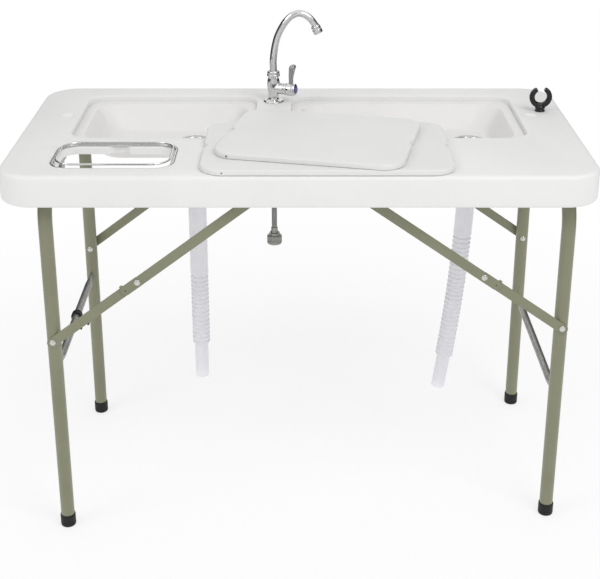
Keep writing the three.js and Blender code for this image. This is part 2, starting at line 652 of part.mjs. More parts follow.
// One side's rivets, links and bracket. outward is -1 on the front leg and 1 on the back one.
function brace(frame, hingeX, legY, outward, label) {
  const { run, lower, upper, angle } = linkage(frame);
  const reach = (distance) => legY + outward * distance;
  const nearFace = (distance) => reach(distance + (outward > 0 ? link.thickness : 0));
  const lowerLayer = leg.radius + gap;
  const upperLayer = lowerLayer + link.thickness + gap;
  const outside = upperLayer + link.thickness + gap;
  const anchorX = hingeX + -frame.side * run;
  const knee = [hingeX + -frame.side * lower * Math.cos(angle), frame.rivet + lower * Math.sin(angle)];

  const lowerBar = flatBar(lower, link.end, link.end, [0, lower]);
  const lowerName = `${frame.name}_${label}_lower_brace`;
  lay(place(lowerName, lowerBar, olivePaint, hingeX, nearFace(lowerLayer), frame.rivet), frame, angle);

  // The upper link runs past the knee, and its lug bends over the lower link's top edge as the stop
  const edge = -frame.side * (link.width / 2 + gap);
  const fold = new THREE.BoxGeometry(lug.length, lug.height, lug.thickness + link.thickness + 2 * gap);
  const backward = outward < 0 ? -1 : 1;
  const fromFace = (backward * (lug.thickness + 2 * gap)) / 2 + link.thickness / 2;
  const lugMiddle = lug.length / 2 - link.tail + link.width / 4;
  fold.translate(lugMiddle, edge + (-frame.side * lug.height) / 2, fromFace);
  const root = new THREE.BoxGeometry(lug.length, lug.height + gap, link.thickness);
  const rootSide = edge + (-frame.side * (lug.height - gap - link.width / 4)) / 2;
  root.translate(lugMiddle, rootSide, link.thickness / 2);
  const upperBar = join(flatBar(upper, link.tail, link.end, [0, upper]), root, fold);
  const upperName = `${frame.name}_${label}_upper_brace`;
  lay(place(upperName, upperBar, olivePaint, knee[0], nearFace(upperLayer), knee[1]), frame, angle);

  const face = outward < 0 ? Math.PI / 2 : -Math.PI / 2;
  const dome = (length) => turned([
    [0, -length],
    [rivet.radius, -length],
    [rivet.radius, 0],
    [rivet.head, 0],
    [rivet.head * Math.SQRT1_2, rivet.headHeight * Math.SQRT1_2],
    [0, rivet.headHeight],
  ], 10);
  const kneePin = dome(link.thickness + gap);
  const kneeName = `${frame.name}_${label}_knee_rivet`;
  place(kneeName, kneePin, greySteel, knee[0], reach(outside), knee[1]).rotation.x = face;
  const legName = `${frame.name}_${label}_leg_rivet`;
  place(legName, dome(rivet.length), greySteel, hingeX, reach(upperLayer), frame.rivet).rotation.x = face;

  // The bracket's ear stands inside the upper link and its pin passes through it
  const earInner = lowerLayer - bracket.ear;
  const plateHigh = underside - gap - bracketHeight;
  const across = (from, to, length, low, high) => {
    const box = new THREE.BoxGeometry(length, to - from, high - low);
    return box.translate(0, (outward * (from + to)) / 2, (low + high) / 2);
  };
  const ear = across(earInner, upperLayer - gap, bracket.width, -bracket.width / 2, plateHigh);
  const plateLow = plateHigh - bracket.plate;
  const foldOver = across(earInner - bracket.flange, upperLayer - gap, bracket.length, plateLow, plateHigh);
  const pin = dome(link.thickness + 2 * gap + bracket.ear / 2);
  pin.rotateX(face).translate(0, outward * outside, 0);
  place(`${frame.name}_${label}_anchor`, join(ear, foldOver, pin), olivePaint, anchorX, legY, bracketHeight);
}

function legFrame(frame) {
  const hingeX = frame.side * (top.width / 2 - frame.fromEnd);
  const middle = frame.side * leg.offset;
  const half = legSpacing / 2;
  const bottom = foot.floor + gap;
  const corners = [
    new THREE.Vector3(0, -half, bottom),
    new THREE.Vector3(0, -half, frame.hinge),
    new THREE.Vector3(0, half, frame.hinge),
    new THREE.Vector3(0, half, bottom),
  ];
  const pipe = tube(bent(corners, leg.bend), leg.radius, leg.wall);
  const holes = [-1, 1].map((end) => {
    const bore = rod(rivet.radius + gap, 0, leg.radius + overrun, 10);
    return bore.rotateX((-end * Math.PI) / 2).translate(0, end * half, frame.rivet);
  });
  place(`${frame.name}_leg_tube`, cut(pipe, ...holes), olivePaint, hingeX, middle, 0);

  // The cross bar's flattened ends meet the inner sides of the legs
  const barHalf = half - leg.radius - gap;
  const barEnd = barHalf - crossBar.bladeLength / 2;
  const bar = rod(crossBar.radius, -barEnd, barEnd).rotateX(Math.PI / 2);
  const blades = [-1, 1].map((end) => {
    const blade = new THREE.BoxGeometry(crossBar.blade, crossBar.bladeLength, crossBar.bladeHeight);
    return blade.translate(0, end * (barHalf - crossBar.bladeLength / 2), 0);
  });
  place(`${frame.name}_cross_bar`, join(bar, ...blades), greySteel, hingeX, middle, frame.bar);

  for (const [label, outward] of [["front", -1], ["back", 1]]) {
    const legY = middle + outward * half;
    const shoe = turned([
      [0, 0],
      [foot.radius, 0],
      [foot.radius, foot.height],
      [boreRound(leg.radius + gap), foot.height],
      [boreRound(leg.radius + gap), foot.floor],
      [0, foot.floor],
    ], 16);
    place(`${frame.name}_${label}_foot`, shoe, blackRubber, hingeX, legY, 0);

    const low = frame.hinge - leg.radius - gap - clamp.wall;
    const block = new THREE.BoxGeometry(clamp.length, clamp.width, underside - gap - low);
    block.translate(0, 0, (underside - gap + low) / 2);
    const boreEnd = clamp.width / 2 + overrun;
    const bore = rod(boreRound(leg.radius + gap), -boreEnd, boreEnd, boreSides);
    bore.rotateX(Math.PI / 2).translate(0, 0, frame.hinge);
    const saddleY = middle + outward * (half - leg.bend - frame.clampInset);
    place(`${frame.name}_${label}_saddle`, cut(block, bore), greySteel, hingeX, saddleY, 0);
    brace(frame, hingeX, legY, outward, label);
  }
}

// A black clip on the left frame's cross bar, with an open ring beside it for the other frame's bar
function storageClip() {
  const [frame] = frames;
  const hingeX = frame.side * (top.width / 2 - frame.fromEnd);
  const outer = crossBar.radius + gap + clip.wall;
  const half = clip.width / 2;
  const aim = Math.atan2(clip.hookZ, clip.hookX);
  const hook = new THREE.Shape();
  hook.absarc(0, 0, clip.outer, aim + clipMouth / 2, aim - clipMouth / 2 + 2 * Math.PI);
  hook.absarc(0, 0, clip.inner, aim - clipMouth / 2 + 2 * Math.PI, aim + clipMouth / 2, true);
  const apart = Math.hypot(clip.hookX, clip.hookZ);
  const web = new THREE.BoxGeometry(apart, clip.web, clip.width).translate(apart / 2, 0, 0).rotateZ(aim);
  const body = join(
    rod(outer, -half, half, 16),
    web,
    slab(hook, -half, half, 0, 6).translate(clip.hookX, clip.hookZ, 0),
  );
  const opened = cut(
    body,
    rod(boreRound(crossBar.radius + gap), -half - overrun, half + overrun, boreSides),
    rod(clip.inner, -half - overrun, half + overrun, 16).translate(clip.hookX, clip.hookZ, 0),
  );
  const y = frame.side * leg.offset + clip.fromMiddle;
  place("storage_clip", opened.rotateX(Math.PI / 2), blackPlastic, hingeX, y, frame.bar);
}

tabletop();
sinks.forEach(sinkBasin);
sinks.forEach(sinkDrain);
sinks.forEach(sinkDrainNut);
drainHose(leftHose, leftHoseLean, leftSink);
drainHose(rightHose, rightHoseLean, rightSink);
wasteRings();
boards();
tapBody();
tapLever();
tapSpout();
waterInlet();
rodHolder();
frames.forEach(legFrame);
storageClip();

export default table;
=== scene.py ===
import math

import bmesh
import bpy
from mathutils import Matrix, Vector


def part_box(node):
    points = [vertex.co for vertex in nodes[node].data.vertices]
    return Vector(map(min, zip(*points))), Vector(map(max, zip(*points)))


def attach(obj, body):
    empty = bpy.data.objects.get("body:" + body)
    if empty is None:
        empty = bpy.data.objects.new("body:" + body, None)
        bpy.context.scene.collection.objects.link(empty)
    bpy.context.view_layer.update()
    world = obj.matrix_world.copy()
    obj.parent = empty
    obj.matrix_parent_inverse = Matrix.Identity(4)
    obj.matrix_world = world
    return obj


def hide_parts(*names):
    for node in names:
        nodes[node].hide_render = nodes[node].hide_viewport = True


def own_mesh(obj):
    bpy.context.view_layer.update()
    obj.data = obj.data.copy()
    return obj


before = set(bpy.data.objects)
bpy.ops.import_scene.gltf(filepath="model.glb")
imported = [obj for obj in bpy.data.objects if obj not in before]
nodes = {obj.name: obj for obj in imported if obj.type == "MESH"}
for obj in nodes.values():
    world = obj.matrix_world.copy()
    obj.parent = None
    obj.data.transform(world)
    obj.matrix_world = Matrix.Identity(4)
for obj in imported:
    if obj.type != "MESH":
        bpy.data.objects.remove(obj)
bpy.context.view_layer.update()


def mm(length):
    # lengths are written in millimetres and used in metres
    return length / 1000


def metres(points):
    return [(mm(a), mm(b)) for a, b in points]


def placed(name, data):
    thing = bpy.data.objects.new(name, data)
    bpy.context.collection.objects.link(thing)
    return thing


# The camera stands in front of the table and looks down at it
camera = {
    "place": (0.0, -2.422, 1.576), "down": 20.59, "nearest": 0.05,
    "lens": 73.3, "sensor": 36, "shift": (0.0012, -0.17),
}
viewCamera = placed("viewCamera", bpy.data.cameras.new("viewCamera"))
viewCamera.location = camera["place"]
viewCamera.rotation_euler = (math.radians(90 - camera["down"]), 0, 0)
viewCamera.data.lens = camera["lens"]
viewCamera.data.sensor_width = camera["sensor"]
viewCamera.data.sensor_fit = "HORIZONTAL"
viewCamera.data.shift_x, viewCamera.data.shift_y = camera["shift"]
viewCamera.data.clip_start = camera["nearest"]
bpy.context.scene.camera = viewCamera
print("camera set")


# Nodes: a term is what comes out of a node's socket, and adds or multiplies like a number
class Term:
    def __init__(self, tree, socket):
        self.tree = tree
        self.socket = socket

    def combined(self, operation, first, second):
        node = self.tree.nodes.new("ShaderNodeMath")
        node.operation = operation
        for socket, value in zip(node.inputs, (first, second)):
            if isinstance(value, Term):
                self.tree.links.new(value.socket, socket)
            else:
                socket.default_value = value
        return Term(self.tree, node.outputs[0])

    def __add__(self, other):
        return self.combined("ADD", self, other)

    def __radd__(self, other):
        return self.combined("ADD", other, self)

    def __sub__(self, other):
        return self.combined("SUBTRACT", self, other)

    def __rsub__(self, other):
        return self.combined("SUBTRACT", other, self)

    def __mul__(self, other):
        return self.combined("MULTIPLY", self, other)

    def __rmul__(self, other):
        return self.combined("MULTIPLY", other, self)

    def __truediv__(self, other):
        return self.combined("DIVIDE", self, other)

    def __rtruediv__(self, other):
        return self.combined("DIVIDE", other, self)

    def over(self, other):
        return self.combined("GREATER_THAN", self, other)


class Tree:
    def __init__(self, tree):
        self.tree = tree

    def node(self, kind, settings, values, output=0):
        # any other node: its settings first, then the values or links of its sockets
        node = self.tree.nodes.new(kind)
        for key, value in settings.items():
            setattr(node, key, value)
        for key, value in values.items():
            if isinstance(value, Term):
                self.tree.links.new(value.socket, node.inputs[key])
            else:
                node.inputs[key].default_value = value
        return Term(self.tree, node.outputs[output])

    def ends(self, node, term):
        self.tree.links.new(term.socket, self.tree.nodes[node].inputs["Surface"])


# Materials
def tint(text):
    # a colour as it is seen on screen, such as d0d0cf, turned into the linear values that shading uses
    parts = [int(text[i:i + 2], 16) / 255 for i in (0, 2, 4)]
    return tuple(p / 12.92 if p <= 0.04045 else ((p + 0.055) / 1.055) ** 2.4 for p in parts) + (1.0,)


class Finish(Tree):
    def __init__(self, name, fixed):
        self.material = bpy.data.materials.new(name)
        self.material.use_nodes = True
        super().__init__(self.material.node_tree)
        self.surface = self.tree.nodes["Principled BSDF"]
        for socket, value in fixed.items():
            self.surface.inputs[socket].default_value = value
        self.place = self.node("ShaderNodeTexCoord", {}, {}, "Object")

    def noise(self, scale, detail, roughness, place=None):
        values = {"Vector": place or self.place, "Scale": scale, "Detail": detail, "Roughness": roughness}
        return self.node("ShaderNodeTexNoise", {"noise_dimensions": "3D"}, values)

    def cells(self, scale, output=0):
        values = {"Vector": self.place, "Scale": scale}
        return self.node("ShaderNodeTexVoronoi", {"feature": "F1"}, values, output)

    def stretched(self, scale, turn=(0, 0, 0)):
        return self.node("ShaderNodeMapping", {}, {"Vector": self.place, "Scale": scale, "Rotation": turn})

    def ranged(self, factor, fromLow, fromHigh, low, high):
        values = {"Value": factor, "From Min": fromLow, "From Max": fromHigh, "To Min": low, "To Max": high}
        return self.node("ShaderNodeMapRange", {"clamp": True}, values)

    def between(self, factor, low, high):
        return self.ranged(factor, 0.0, 1.0, low, high)

    def patches(self, low, high, most, scale, detail, roughness):
        # noise that is nothing below the low level and the most above the high one
        return self.ranged(self.noise(scale, detail, roughness), low, high, 0.0, most)

    def flecks(self, scale, size, most):
        # small spots, the most in their middle and nothing past their size
        return self.ranged(self.cells(scale), 0.0, size, most, 0.0)

    def mixed(self, factor, first, second):
        return self.node("ShaderNodeMix", {"data_type": "RGBA"}, {"Factor": factor, 6: first, 7: second}, 2)

    def feed(self, socket, term):
        self.tree.links.new(term.socket, self.surface.inputs[socket])

    def coloured(self, share, seen, shade):
        # the first colour goes over into the second as the share grows
        self.feed("Base Color", self.mixed(share, tint(seen), tint(shade)))

    def textured(self, roughness, height, strength, distance):
        # feeds the gloss and the relief, and gives the material
        self.feed("Roughness", roughness)
        values = {"Height": height, "Strength": strength, "Distance": distance}
        self.feed("Normal", self.node("ShaderNodeBump", {}, values))
        return self.material


def mouldedPlastic(name, seen, shade, gloss, pebble, strength, scuff):
    # blow-moulded plastic: a fine pebbled skin, faint clouds of tone and a few dull rubbed patches
    made = Finish(name, {"Specular IOR Level": 0.42})
    fine = made.noise(pebble, 3.0, 0.6)
    specks = made.flecks(95.0, 0.075, 0.5)
    made.coloured(made.patches(0.3, 0.7, 0.55, 5.0, 4.0, 0.6) + specks * 0.18, seen, shade)
    rubbed = made.patches(0.52, 0.72, 1.0, 17.0, 5.0, 0.7)
    rough = made.between(fine, gloss - 0.05, gloss + 0.07) + rubbed * scuff
    return made.textured(rough, fine * 0.55 + made.cells(pebble * 0.55) * 0.45, strength, 0.0006)


def polishedMetal(name, seen, shade, gloss, streak, metal=1.0, relief=0.06):
    # plated or drawn metal: fine lines along it, small pits and faint finger marks
    made = Finish(name, {"Metallic": metal, "Specular IOR Level": 0.5})
    lines = made.noise(streak, 4.0, 0.55, made.stretched((1.0, 1.0, 0.08)))
    marks = made.patches(0.5, 0.75, 1.0, 42.0, 4.0, 0.6)
    made.coloured(made.ranged(lines, 0.35, 0.7, 0.0, 0.8) + marks * 0.2, seen, shade)
    rough = made.between(lines, gloss, gloss * 1.3) + marks * (gloss * 0.4)
    return made.textured(rough, lines * 0.6 - made.flecks(520.0, 0.09, 1.0) * 0.4, relief, 0.0003)


def powderPaint(name, seen, shade, edge, gloss):
    # baked paint: orange-peel skin under a thin clear coat, with a few chips of a lighter tone
    made = Finish(name, {"Specular IOR Level": 0.5, "Coat Weight": 0.4, "Coat Roughness": 0.2})
    peel = made.noise(620.0, 2.0, 0.4)
    chips = made.flecks(210.0, 0.05, 1.0) * made.noise(11.0, 3.0, 0.6).over(0.56)
    painted = made.mixed(made.patches(0.3, 0.7, 0.7, 9.0, 4.0, 0.6), tint(seen), tint(shade))
    made.feed("Base Color", made.mixed(chips * 0.8, painted, tint(edge)))
    rough = made.between(peel, gloss - 0.05, gloss + 0.08) + chips * 0.1
    return made.textured(rough, peel - chips * 0.6, 0.22, 0.0004)


def galvanised(name, seen, shade, gloss):
    # zinc-coated bar: angular spangles of light and dark with lines drawn along it
    made = Finish(name, {"Metallic": 0.85, "Specular IOR Level": 0.5})
    spangle = made.node("ShaderNodeSeparateColor", {}, {"Color": made.cells(160.0, 1)})
    lines = made.noise(240.0, 3.0, 0.5, made.stretched((1.0, 0.06, 1.0)))
    tone = spangle * 0.35 + made.ranged(lines, 0.3, 0.7, 0.0, 0.5)
    made.coloured(tone + made.patches(0.45, 0.7, 0.35, 14.0, 4.0, 0.6), seen, shade)
    rough = made.between(spangle, gloss - 0.06, gloss + 0.1) + lines * 0.06
    return made.textured(rough, lines, 0.1, 0.0003)


def darkPlastic(name, seen, shade, gloss, grain, strength, coat=0.0):
    # moulded black plastic or rubber with a fine grain and pale dust in its low places
    made = Finish(name, {"Specular IOR Level": 0.32, "Coat Weight": coat, "Coat Roughness": 0.05})
    fine = made.noise(grain, 4.0, 0.6)
    dust = made.patches(0.55, 0.8, 1.0, 60.0, 5.0, 0.7)
    made.coloured(made.ranged(fine, 0.3, 0.7, 0.0, 0.6) + dust * 0.3, seen, shade)
    rough = made.between(fine, gloss - 0.04, gloss + 0.08) + dust * 0.15
    return made.textured(rough, fine, strength, 0.0004)


def milkyHose(name, seen, shade, alpha):
    # soft clear plastic that has gone milky, a little cloudier in patches
    made = Finish(name, {"Alpha": alpha, "Specular IOR Level": 0.55, "IOR": 1.42})
    lines = made.noise(70.0, 3.0, 0.5, made.stretched((1.0, 1.0, 0.12)))
    made.coloured(made.patches(0.3, 0.7, 1.0, 26.0, 4.0, 0.6), seen, shade)
    return made.textured(made.between(lines, 0.26, 0.42), lines, 0.04, 0.0004)


def braided(name, seen, shade):
    # a braided steel sleeve: two sets of slanting strands round the hose
    made = Finish(name, {"Metallic": 0.8, "Specular IOR Level": 0.5})
    strands = []
    bands = {"wave_type": "BANDS", "bands_direction": "Z"}
    for slant in (0.9, -0.9):
        place = made.stretched((1.0, 1.0, 0.55), (slant, 0.0, slant))
        values = {"Vector": place, "Scale": 160.0, "Distortion": 0.0}
        strands.append(made.node("ShaderNodeTexWave", bands, values, 1))
    weave = strands[0] * strands[1]
    made.coloured(weave * 0.7 + made.noise(80.0, 3.0, 0.5) * 0.2, shade, seen)
    return made.textured(made.between(weave, 0.45, 0.25), weave, 0.5, 0.0006)


whitePlastic = mouldedPlastic("whitePlastic", "e8e8e7", "e0e0df", 0.5, 760.0, 0.16, 0.05)
basinPlastic = mouldedPlastic("basinPlastic", "e6e5e4", "dcdbda", 0.36, 540.0, 0.07, 0.06)
boardPlastic = mouldedPlastic("boardPlastic", "e1e1e0", "d8d8d7", 0.46, 880.0, 0.2, 0.07)
chromePlate = polishedMetal("chromePlate", "d9d9d8", "cbcccd", 0.035, 260.0, 1.0, 0.002)
drainSteel = polishedMetal("drainSteel", "cfd0d0", "a9abad", 0.2, 420.0)
rivetSteel = polishedMetal("rivetSteel", "d8d8d4", "bcbbb6", 0.09, 600.0)
nutSteel = polishedMetal("nutSteel", "a9a9a5", "85857f", 0.34, 520.0, 0.9)
legPaint = powderPaint("legPaint", "83846a", "75765e", "b7b8a4", 0.42)
barSteel = galvanised("barSteel", "b2b1af", "8c8b89", 0.36)
blackPlastic = darkPlastic("blackPlastic", "070707", "101010", 0.1, 500.0, 0.02, 0.3)
footRubber = darkPlastic("footRubber", "101010", "242322", 0.5, 380.0, 0.2)
leverGrey = polishedMetal("leverGrey", "a9abac", "8b8d8f", 0.3, 300.0, 0.7)
blueCap = darkPlastic("blueCap", "56559a", "46457f", 0.28, 420.0, 0.05)
hosePlastic = milkyHose("hosePlastic", "fcfcff", "f6f6fb", 0.65)
supplyBraid = braided("supplyBraid", "b6b7b6", "6d6e6d")
# dark grey for the small disc that sits nearly flush in each board's front edge
pinDark = darkPlastic("pinDark", "4a4946", "5c5b58", 0.5, 300.0, 0.1)
print("materials made")


# Shapes
def finished(name, mesh, material, body, replaced=(), sharp=32):
    # turns a mesh into a piece of the table: outward faces, crisp edges where it bends sharply
    work = bmesh.new()
    work.from_mesh(mesh)
    bmesh.ops.remove_doubles(work, verts=work.verts, dist=1e-6)
    bmesh.ops.recalc_face_normals(work, faces=work.faces)
    for face in work.faces:
        face.smooth = True
        face.material_index = 0
    work.to_mesh(mesh)
    work.free()
    mesh.materials.clear()
    mesh.materials.append(material)
    mesh.set_sharp_from_angle(angle=math.radians(sharp))
    piece = placed(name, mesh)
    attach(piece, body)
    if replaced:
        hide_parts(*replaced)
    return piece


def released(work, name):
    # gives the work back as a mesh with its faces turned outwards
    mesh = bpy.data.meshes.new(name)
    bmesh.ops.recalc_face_normals(work, faces=work.faces)
    work.to_mesh(mesh)
    work.free()
    return mesh


def facing(mesh, side):
    # turns an open skin round where the number that side finds for its faces is below zero
    work = bmesh.new()
    work.from_mesh(mesh)
    bmesh.ops.recalc_face_normals(work, faces=work.faces)
    if side(list(work.faces)) < 0:
        bmesh.ops.reverse_faces(work, faces=work.faces)
    work.to_mesh(mesh)
    work.free()
    return mesh


def lofted(rings, capped=True):
    # joins rings of equal counts into one skin, with flat ends where it is capped
    work = bmesh.new()
    rows = [[work.verts.new(point) for point in ring] for ring in rings]
    count = len(rows[0])
    for low, high in zip(rows, rows[1:]):
        for i in range(count):
            j = (i + 1) % count
            work.faces.new((low[i], low[j], high[j], high[i]))
    if capped:
        work.faces.new(rows[0])
        work.faces.new(rows[-1])
    return released(work, "loft")


def spun(profile, count):
    # turns a profile of radius and height round the upright axis; a radius of zero closes the end
    angles = [2 * math.pi * i / count for i in range(count)]
    work = bmesh.new()
    rows = []
    for radius, height in profile:
        around = angles if radius > 0 else [0.0]
        rows.append([work.verts.new((radius * math.cos(a), radius * math.sin(a), height)) for a in around])
    for low, high in zip(rows, rows[1:]):
        for i in range(count):
            j = (i + 1) % count
            corners = [low[i % len(low)], low[j % len(low)], high[j % len(high)], high[i % len(high)]]
            corners = list(dict.fromkeys(corners))
            if len(corners) > 2:
                work.faces.new(corners)
    return released(work, "spun")


def softened(profile, edge, bends):
    # rounds each corner of a profile of radius and height
    result = [profile[0]]
    for before, corner, after in zip(profile, profile[1:], profile[2:]):
        a, b, c = Vector(before), Vector(corner), Vector(after)
        reach = min(edge, (a - b).length * 0.45, (c - b).length * 0.45)
        if reach < 1e-7:
            result.append(corner)
            continue
        start = b + (a - b).normalized() * reach
        end = b + (c - b).normalized() * reach
        for i in range(bends + 1):
            t = i / bends
            result.append(tuple(start * (1 - t) ** 2 + b * 2 * t * (1 - t) + end * t ** 2))
    result.append(profile[-1])
    return result


def turned(profile, edge, bends, count):
    # a turned part from a profile in millimetres, with its corners rounded
    return spun(softened(metres(profile), mm(edge), bends), count)


def plug(radius, low, high, count):
    return spun(metres([(0, low), (radius, low), (radius, high), (0, high)]), count)


def roundedLoop(width, depth, corner, steps, centre=(0.0, 0.0)):
    # points round a rectangle with round corners
    points = []
    for quarter, (sx, sy) in enumerate(((1, 1), (-1, 1), (-1, -1), (1, -1))):
        for i in range(steps + 1):
            angle = math.pi / 2 * (quarter + i / steps)
            x = centre[0] + sx * (width / 2 - corner) + corner * math.cos(angle)
            y = centre[1] + sy * (depth / 2 - corner) + corner * math.sin(angle)
            points.append((x, y))
    return points


def outlined(width, depth, corner, steps, x=0.0, y=0.0):
    # the same from millimetres, in metres
    return roundedLoop(mm(width), mm(depth), mm(corner), steps, (mm(x), mm(y)))


def squaredCircle(count, power):
    # points round a circle of radius one, squarer as the power falls below one
    points = []
    for i in range(count):
        angle = 2 * math.pi * i / count
        c, s = math.cos(angle), math.sin(angle)
        points.append((math.copysign(abs(c) ** power, c), math.copysign(abs(s) ** power, s)))
    return points


def shrunk(outline, inset):
    # moves every point of an outline inwards along its own normal
    result = []
    for i, (x, y) in enumerate(outline):
        before, after = outline[i - 1], outline[(i + 1) % len(outline)]
        first = Vector((x - before[0], y - before[1]))
        second = Vector((after[0] - x, after[1] - y))
        along = (first.normalized() + second.normalized())
        along = along.normalized() if along.length > 1e-9 else second.normalized()
        turn = first.normalized().dot(along) if first.length > 1e-9 else 1.0
        reach = inset / max(turn, 0.5)
        result.append((x - along.y * reach, y + along.x * reach))
    return result


def level(outline, height):
    return [(x, y, height) for x, y in outline]


def slabbed(outline, low, high, lowEdge, highEdge, steps):
    # a plate with rounded edges from an outline
    turns = [math.pi / 2 * i / steps for i in range(steps + 1)]
    rings = []
    for turn in turns:
        inset = lowEdge * (1 - math.sin(turn))
        rings.append(level(shrunk(outline, inset), low + lowEdge * (1 - math.cos(turn))))
    for turn in turns:
        inset = highEdge * (1 - math.cos(turn))
        rings.append(level(shrunk(outline, inset), high - highEdge * (1 - math.sin(turn))))
    return lofted(rings)


def flared(outline, low, high, lip, steps=6):
    # a cutting tool whose upper edge opens outwards, so it leaves a rounded lip
    rings = [level(outline, low)]
    for i in range(steps + 1):
        turn = math.pi / 2 * i / steps
        grow = lip * (1 - math.cos(turn))
        rings.append(level(shrunk(outline, -grow), high - lip + lip * math.sin(turn)))
    rings.append(level(shrunk(outline, -lip), high + mm(2)))
    return lofted(rings)


def shift(x, y, z):
    return Matrix.Translation((x, y, z))


def moved(mesh, matrix):
    mesh.transform(matrix)
    if matrix.determinant() < 0:
        mesh.flip_normals()
    return mesh


def joined(meshes):
    work = bmesh.new()
    for mesh in meshes:
        work.from_mesh(mesh)
        bpy.data.meshes.remove(mesh)
    return released(work, "joined")


def plain(holder):
    # the mesh that an object's modifiers give; the object goes
    bpy.context.view_layer.update()
    result = bpy.data.meshes.new_from_object(holder.evaluated_get(bpy.context.evaluated_depsgraph_get()))
    bpy.data.objects.remove(holder)
    return result


def worked(mesh, modifiers):
    # applies modifiers to a mesh
    holder = placed("holder", mesh)
    for kind, settings in modifiers:
        modifier = holder.modifiers.new(kind.lower(), kind)
        for key, value in settings.items():
            setattr(modifier, key, value)
    return plain(holder)


def walled(skin, wall, even=False):
    # gives an open skin a wall on its inner side
    return worked(skin, [("SOLIDIFY", {"thickness": mm(wall), "offset": -1.0, "use_even_offset": even})])


def carved(mesh, tools, operation="DIFFERENCE"):
    # cuts tools out of a mesh, or adds them to it
    helpers = [placed("tool", tool) for tool in tools]
    shared = {"operation": operation, "solver": "EXACT"}
    result = worked(mesh, [("BOOLEAN", {**shared, "object": helper}) for helper in helpers])
    for helper in helpers:
        bpy.data.objects.remove(helper)
    return result


def curved(points, perSpan):
    # a smooth line through points
    points = [Vector(p) for p in points]
    padded = [2 * points[0] - points[1]] + points + [2 * points[-1] - points[-2]]
    result = []
    for i in range(len(points) - 1):
        a, b, c, d = padded[i:i + 4]
        for step in range(perSpan):
            t = step / perSpan
            early = 2 * b + (c - a) * t + (2 * a - 5 * b + 4 * c - d) * t ** 2
            result.append((early + (3 * b - a - 3 * c + d) * t ** 3) / 2)
    result.append(points[-1])
    return result


def bentLine(corners, radius, steps, closed=False):
    # straight runs between corners with a round bend at each
    corners = [Vector(c) for c in corners]
    count = len(corners)
    result = []
    for i, corner in enumerate(corners):
        if not closed and i in (0, count - 1):
            result.append(corner)
            continue
        before, after = corners[i - 1], corners[(i + 1) % count]
        coming, going = (corner - before).normalized(), (after - corner).normalized()
        turn = coming.angle(going)
        start = corner - coming * radius * math.tan(turn / 2)
        inward = (going - coming * coming.dot(going)).normalized()
        centre = start + inward * radius
        for j in range(steps + 1):
            angle = turn * j / steps
            result.append(centre - inward * radius * math.cos(angle) + coming * radius * math.sin(angle))
    return result


def lineMesh(points, closed=False):
    edges = [(i, i + 1) for i in range(len(points) - 1)]
    if closed:
        edges.append((len(points) - 1, 0))
    mesh = bpy.data.meshes.new("line")
    mesh.from_pydata([tuple(p) for p in points], edges, [])
    return mesh


def lengthOf(points):
    return sum((b - a).length for a, b in zip(points, points[1:]))


# Geometry node trees, for what follows a path or repeats
class Group(Tree):
    def __init__(self, name, inputs):
        super().__init__(bpy.data.node_groups.new(name, "GeometryNodeTree"))
        face = self.tree.interface
        face.new_socket("Geometry", in_out="INPUT", socket_type="NodeSocketGeometry")
        for label, kind, value in inputs:
            face.new_socket(label, in_out="INPUT", socket_type="NodeSocket" + kind).default_value = value
        face.new_socket("Material", in_out="INPUT", socket_type="NodeSocketMaterial")
        face.new_socket("Geometry", in_out="OUTPUT", socket_type="NodeSocketGeometry")
        self.start = self.tree.nodes.new("NodeGroupInput")
        self.end = self.tree.nodes.new("NodeGroupOutput")

    def given(self, label):
        return Term(self.tree, self.start.outputs[label])

    def path(self):
        return self.node("GeometryNodeMeshToCurve", {}, {"Mesh": self.given("Geometry")})

    def sweeps(self, curve, radius, sides, caps):
        # thickens a curve: its radius is set, and a ring follows it
        ring = self.node("GeometryNodeCurvePrimitiveCircle", {}, {"Resolution": sides, "Radius": 1.0})
        sized = self.node("GeometryNodeSetCurveRadius", {}, {"Curve": curve, "Radius": radius})
        values = {"Curve": sized, "Profile Curve": ring, "Fill Caps": caps}
        skin = self.node("GeometryNodeCurveToMesh", {}, values)
        inputs = skin.socket.node.inputs
        if "Scale" in inputs:
            self.tree.links.new(self.node("GeometryNodeInputRadius", {}, {}).socket, inputs["Scale"])
        return self.closes(skin)

    def closes(self, geometry):
        real = self.node("GeometryNodeRealizeInstances", {}, {"Geometry": geometry})
        values = {"Geometry": real, "Material": self.given("Material")}
        painted = self.node("GeometryNodeSetMaterial", {}, values)
        self.tree.links.new(painted.socket, self.end.inputs[0])
        return self

    def applied(self, mesh, values):
        holder = placed("holder", mesh)
        modifier = holder.modifiers.new("shape", "NODES")
        modifier.node_group = self.tree
        names = {i.name: i.identifier for i in self.tree.interface.items_tree if i.in_out == "INPUT"}
        for label, value in values.items():
            modifier[names[label]] = value
        return plain(holder)


def tubeTree():
    group = Group("roundTube", [("Radius", "Float", 0.01), ("Sides", "Int", 32), ("Capped", "Bool", True)])
    return group.sweeps(group.path(), group.given("Radius"), group.given("Sides"), group.given("Capped"))


